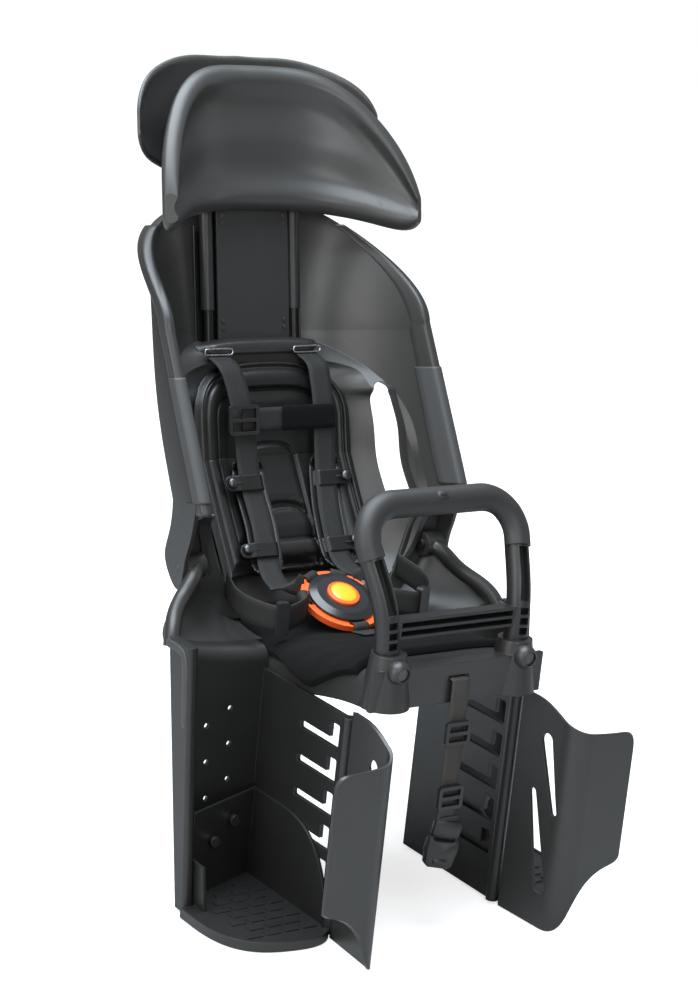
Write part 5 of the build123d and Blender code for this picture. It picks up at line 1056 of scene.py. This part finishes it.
def make_keyhole(name, line, side, share):
    """Dark slot beside a tab's stud."""
    point, run, out = strap_frame(line, share)
    centre = point + SIDEWAYS * side * (STUD_SHIFT - KEYHOLE_SETBACK)
    centre = centre + out * (WEBBING_THICKNESS / 2 + KEYHOLE_LIFT)
    sections = []
    for a in np.linspace(-KEYHOLE_HALF_LENGTH, KEYHOLE_HALF_LENGTH, KEYHOLE_COUNT):
        half = math.sqrt(max(KEYHOLE_END_SHARE, 1 - (a / KEYHOLE_ROUND) ** 4))
        top = [(half / 2, KEYHOLE_RISE), (-half / 2, KEYHOLE_RISE)]
        ring = [(half, 0.0)] + top + [(-half, 0.0), (0.0, -KEYHOLE_DEPTH)]
        sections.append([centre + SIDEWAYS * a + run * b + out * c for b, c in ring])
    make_piece(name, tube_mesh(sections), DARK)


def make_shoulder_straps():
    for name, side in SIDES:
        line = shoulder_line(side)
        strap = make_piece(f"{name}_shoulder_webbing", strap_mesh(line, SIDEWAYS), WEBBING)
        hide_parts(f"{name}_shoulder_strap")
        make_wrap(name, line)
        for number, share in enumerate(TAB_SHARES, 1):
            make_tab(f"{name}_tab_{number}", line, side, share)
            make_keyhole(f"{name}_keyhole_{number}", line, side, share)
    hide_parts("wrap_tabs")


def make_strap_ends():
    """Webbing from each shoulder strap's end to the tongue ring."""
    for name, side in SIDES:
        turn = math.radians(90.0 - side * TONGUE_TURN_DEG)
        start = shoulder_line(side)[-1] + np.array(TONGUE_START_SHIFT)
        reached = [(x * math.cos(turn), y * math.sin(turn), z) for x, y, z in (TONGUE_MIDDLE, TONGUE_END)]
        line = smooth_line([start] + [on_buckle(*place) for place in reached])
        share = np.linspace(0.0, 1.0, len(line))[:, None]
        across = mix(SIDEWAYS, np.array(TONGUE_END_ACROSS), smooth(share))
        mesh = strap_mesh(line, across, WEBBING_WIDTH - TONGUE_NARROWING)
        make_piece(f"{name}_tongue_webbing", mesh, WEBBING)


def chest_line(start_x, end_x, count):
    x = np.linspace(start_x, end_x, count)
    return on_back(x, CHEST_D + CHEST_RIPPLE * np.sin(CHEST_RIPPLE_RATE * x), CHEST_H)


def make_chest_strap():
    mesh = strap_mesh(chest_line(CHEST_SLIDE_X, CHEST_END_X, CHEST_COUNT), BACK_UP, CHEST_WIDTH)
    strap = make_piece("chest_webbing", mesh, WEBBING)
    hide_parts("chest_strap")
    line = chest_line(CHEST_TAB_X, CHEST_END_X + CHEST_TAB_MARGIN, CHEST_TAB_COUNT)
    line = line + BACK_OUT * CHEST_TAB_THICKNESS
    mesh = strap_mesh(line, BACK_UP, CHEST_WIDTH + CHEST_TAB_MARGIN, CHEST_TAB_THICKNESS)
    make_piece("chest_hook_strip", mesh, HOOK_STRIP)


def make_waist_straps():
    for name, side in SIDES:
        line = smooth_line([(side * x, y, z) for x, y, z in WAIST_PLACES])
        strap = make_piece(f"{name}_waist_webbing", strap_mesh(line, UPRIGHT), WEBBING)
        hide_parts(f"{name}_waist_strap")
    mesh = strap_mesh(smooth_line(CROTCH_PLACES), SIDEWAYS)
    strap = make_piece("crotch_webbing", mesh, WEBBING)
    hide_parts("crotch_strap")


# Harness buckle
def make_ring_loops():
    """Short webbing loops round the tongue ring."""
    for number, turn_deg in enumerate(RING_LOOPS_DEG, 1):
        c, s = math.cos(math.radians(turn_deg)), math.sin(math.radians(turn_deg))
        line = []
        for angle in np.linspace(0.0, 2 * math.pi, RING_LOOP_COUNT):
            radius = RING_RADIUS + RING_LOOP_SHIFT + RING_LOOP_REACH * math.cos(angle)
            line.append(on_buckle(radius * c, radius * s, RING_LOOP_Z + RING_LOOP_RISE * math.sin(angle)))
        across = on_buckle(-s, c, 0.0) - on_buckle(0.0, 0.0, 0.0)
        mesh = strap_mesh(np.array(line), across, RING_LOOP_WIDTH)
        make_piece(f"ring_loop_{number}", mesh, WEBBING)


def make_button_face():
    """Plain face let into the release button."""
    sections = []
    for inset, rise in BUTTON_FACE_STEPS:
        ring = circle(BUTTON_FACE_RADIUS - inset, BUTTON_FACE_COUNT)
        sections.append([on_buckle(x, y, BUTTON_TOP + rise) for x, y in ring])
    make_piece("button_face", tube_mesh(sections), YELLOW, "release_button")


# Front strap, with a side-release buckle at its end
def make_front_buckle():
    """Socket body, plug, two squeeze prongs, a raised ridge and the strap's turned end."""
    low, high = [np.array(corner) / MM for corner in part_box("front_buckle")]
    turn = Matrix.Rotation(math.radians(FRONT_BUCKLE_TURN_DEG), 4, "Z")
    tilt = Matrix.Rotation(math.radians(FRONT_BUCKLE_TILT_DEG), 4, "Y")
    place = Matrix.Translation(Vector((low + high) / 2)) @ turn @ tilt
    raised = place @ Matrix.Translation((0, RIDGE_FORWARD, 0))
    mouldings = [
        ("socket", both_halves(SOCKET_HALF), SOCKET_THICKNESS, place),
        ("plug", both_halves(PLUG_HALF), PLUG_THICKNESS, place),
    ]
    for name, side in SIDES:
        mouldings.append((f"{name}_prong", [(side * x, z) for x, z in PRONG_OUTLINE], PRONG_THICKNESS, place))
    mouldings.append(("ridge", both_halves(RIDGE_HALF), RIDGE_THICKNESS, raised))
    pieces = []
    for name, outline, thickness, where in mouldings:
        mesh = prism_mesh(outline, thickness, where)
        pieces.append(make_piece(f"front_buckle_{name}", mesh, DARK))
    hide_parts("front_buckle")
    end = [tuple(place @ Vector((0, 0, z))) for z in FRONT_STRAP_END_Z]
    mesh = strap_mesh(smooth_line([FRONT_STRAP_PLACES[-1]] + end), SIDEWAYS, FRONT_STRAP_WIDTH)
    pieces.append(make_piece("front_webbing_end", mesh, WEBBING_BROWN))
    return pieces


def make_front_strap():
    line = smooth_line(FRONT_STRAP_PLACES)
    mesh = strap_mesh(line, SIDEWAYS, FRONT_STRAP_WIDTH)
    strap = make_piece("front_webbing", mesh, WEBBING_BROWN)
    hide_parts("front_strap")
    make_front_buckle() + [NODES["front_strap_slides"]]


# Pocket in the grip
def rectangle(half_x, half_z):
    return [(-half_x, -half_z), (-half_x, half_z), (half_x, half_z), (half_x, -half_z)]


def make_grip_hole():
    """Small rectangular pocket in the middle of the grip: a rim, and a near-black block ahead of it that is
    painted shade of the recess.
    """
    centre = Matrix.Translation(Vector((0.0, BAR_TOP_Y, BAR_TOP_Z)))
    tilt = Matrix.Rotation(-math.radians(GRIP_POCKET_TILT_DEG), 4, "X")
    place = centre @ tilt @ Matrix.Translation((0, GRIP_POCKET_SINK - GRIP_RADIUS, 0))
    mesh = prism_mesh(rectangle(*GRIP_POCKET_RIM), GRIP_POCKET_DEPTH, place)
    make_piece("grip_pocket_rim", mesh, GRIP)
    # Near-black block standing for the pocket's inside: painted shade
    ahead = place @ Matrix.Translation((0, -GRIP_POCKET_STEP, 0))
    mesh = prism_mesh(rectangle(*GRIP_POCKET_HALF), GRIP_POCKET_DEPTH, ahead)
    make_piece("grip_pocket_shade", mesh, POCKET_SHADE)


make_back_pad()
make_seat_pad()
make_wing_trim()
make_lip_pads()
make_waist_webs()
make_post_cheeks()
make_strap_ledge()
make_shoulder_straps()
make_strap_ends()
make_snaps()
make_chest_strap()
make_waist_straps()
make_ring_loops()
make_button_face()
make_front_strap()
make_grip_hole()


# Camera, light and floor
def make_camera():
    data = bpy.data.cameras.new("camera")
    data.lens = CAMERA_LENS
    data.sensor_width = CAMERA_SENSOR
    camera = bpy.data.objects.new("camera", data)
    bpy.context.scene.collection.objects.link(camera)
    look = (CAMERA_TARGET - CAMERA_PLACE).to_track_quat("-Z", "Y").to_matrix().to_4x4()
    roll = Matrix.Rotation(math.radians(CAMERA_ROLL_DEG), 4, "Z")
    camera.matrix_world = Matrix.Translation(CAMERA_PLACE) @ look @ roll
    bpy.context.scene.camera = camera


def make_light(name, place, target, size, power, colour):
    data = bpy.data.lights.new(name, "AREA")
    data.shape = "RECTANGLE"
    data.size, data.size_y = size
    data.energy = power
    data.color = colour
    light = bpy.data.objects.new(name, data)
    bpy.context.scene.collection.objects.link(light)
    light.location = place
    light.rotation_euler = (Vector(target) - Vector(place)).to_track_quat("-Z", "Y").to_euler()


def seen_directly(tree, glossy_share):
    """1 for the camera and through clear things, and a share of that in reflections."""
    path = add_node(tree, "LightPath")
    gloss = add_node(tree, "Math", {1: glossy_share}, operation="MULTIPLY_ADD")
    tree.links.new(path.outputs["Is Glossy Ray"], gloss.inputs[0])
    tree.links.new(path.outputs["Is Camera Ray"], gloss.inputs[2])
    total = add_node(tree, "Math", operation="ADD", use_clamp=True)
    tree.links.new(gloss.outputs["Value"], total.inputs[0])
    tree.links.new(path.outputs["Is Transmission Ray"], total.inputs[1])
    return total.outputs["Value"]


def make_world():
    """White surround that lights the object only a little."""
    world = bpy.data.worlds.new("studio")
    world.use_nodes = True
    tree = world.node_tree
    background = tree.nodes["Background"]
    background.inputs["Color"].default_value = (*WHITE, 1)
    strength = spread(tree, seen_directly(tree, GLOSSY_SHARE), WORLD_LIGHT, 1.0)
    tree.links.new(strength, background.inputs["Strength"])
    bpy.context.scene.world = world


def make_floor():
    """Pale floor that fades into the white surround."""
    matt = {"Roughness": FLOOR_ROUGHNESS, "Specular IOR Level": 0.0}
    colours = {"Base Color": (FLOOR_GREY, FLOOR_GREY, FLOOR_GREY, 1), "Emission Color": (*WHITE, 1)}
    material, tree, shader = new_material("pale_floor", {**matt, **colours})
    coord = add_node(tree, "TexCoord")
    length = add_node(tree, "VectorMath", operation="LENGTH")
    tree.links.new(coord.outputs["Object"], length.inputs[0])
    fade = {"From Min": FLOOR_GLOW_START, "From Max": FLOOR_GLOW_END}
    glow = add_node(tree, "MapRange", {**fade, "To Min": FLOOR_GLOW_NEAR, "To Max": FLOOR_GLOW_FAR})
    tree.links.new(length.outputs["Value"], glow.inputs["Value"])
    shown = add_node(tree, "Math", operation="MULTIPLY")
    tree.links.new(glow.outputs["Result"], shown.inputs[0])
    tree.links.new(seen_directly(tree, 0.0), shown.inputs[1])
    tree.links.new(shown.outputs["Value"], shader.inputs["Emission Strength"])
    mesh = bpy.data.meshes.new("floor")
    z = CAD_BOX[0].z - FLOOR_DROP
    corners = [(x * FLOOR_HALF_SIZE, y * FLOOR_HALF_SIZE, z) for x, y in ((-1, -1), (1, -1), (1, 1), (-1, 1))]
    mesh.from_pydata(corners, [], [(0, 1, 2, 3)])
    mesh.materials.append(material)
    floor = bpy.data.objects.new("floor", mesh)
    bpy.context.scene.collection.objects.link(floor)


make_camera()
make_world()
make_floor()
for lamp in LAMPS:
    make_light(*lamp)

bpy.context.scene.view_settings.view_transform = "Standard"
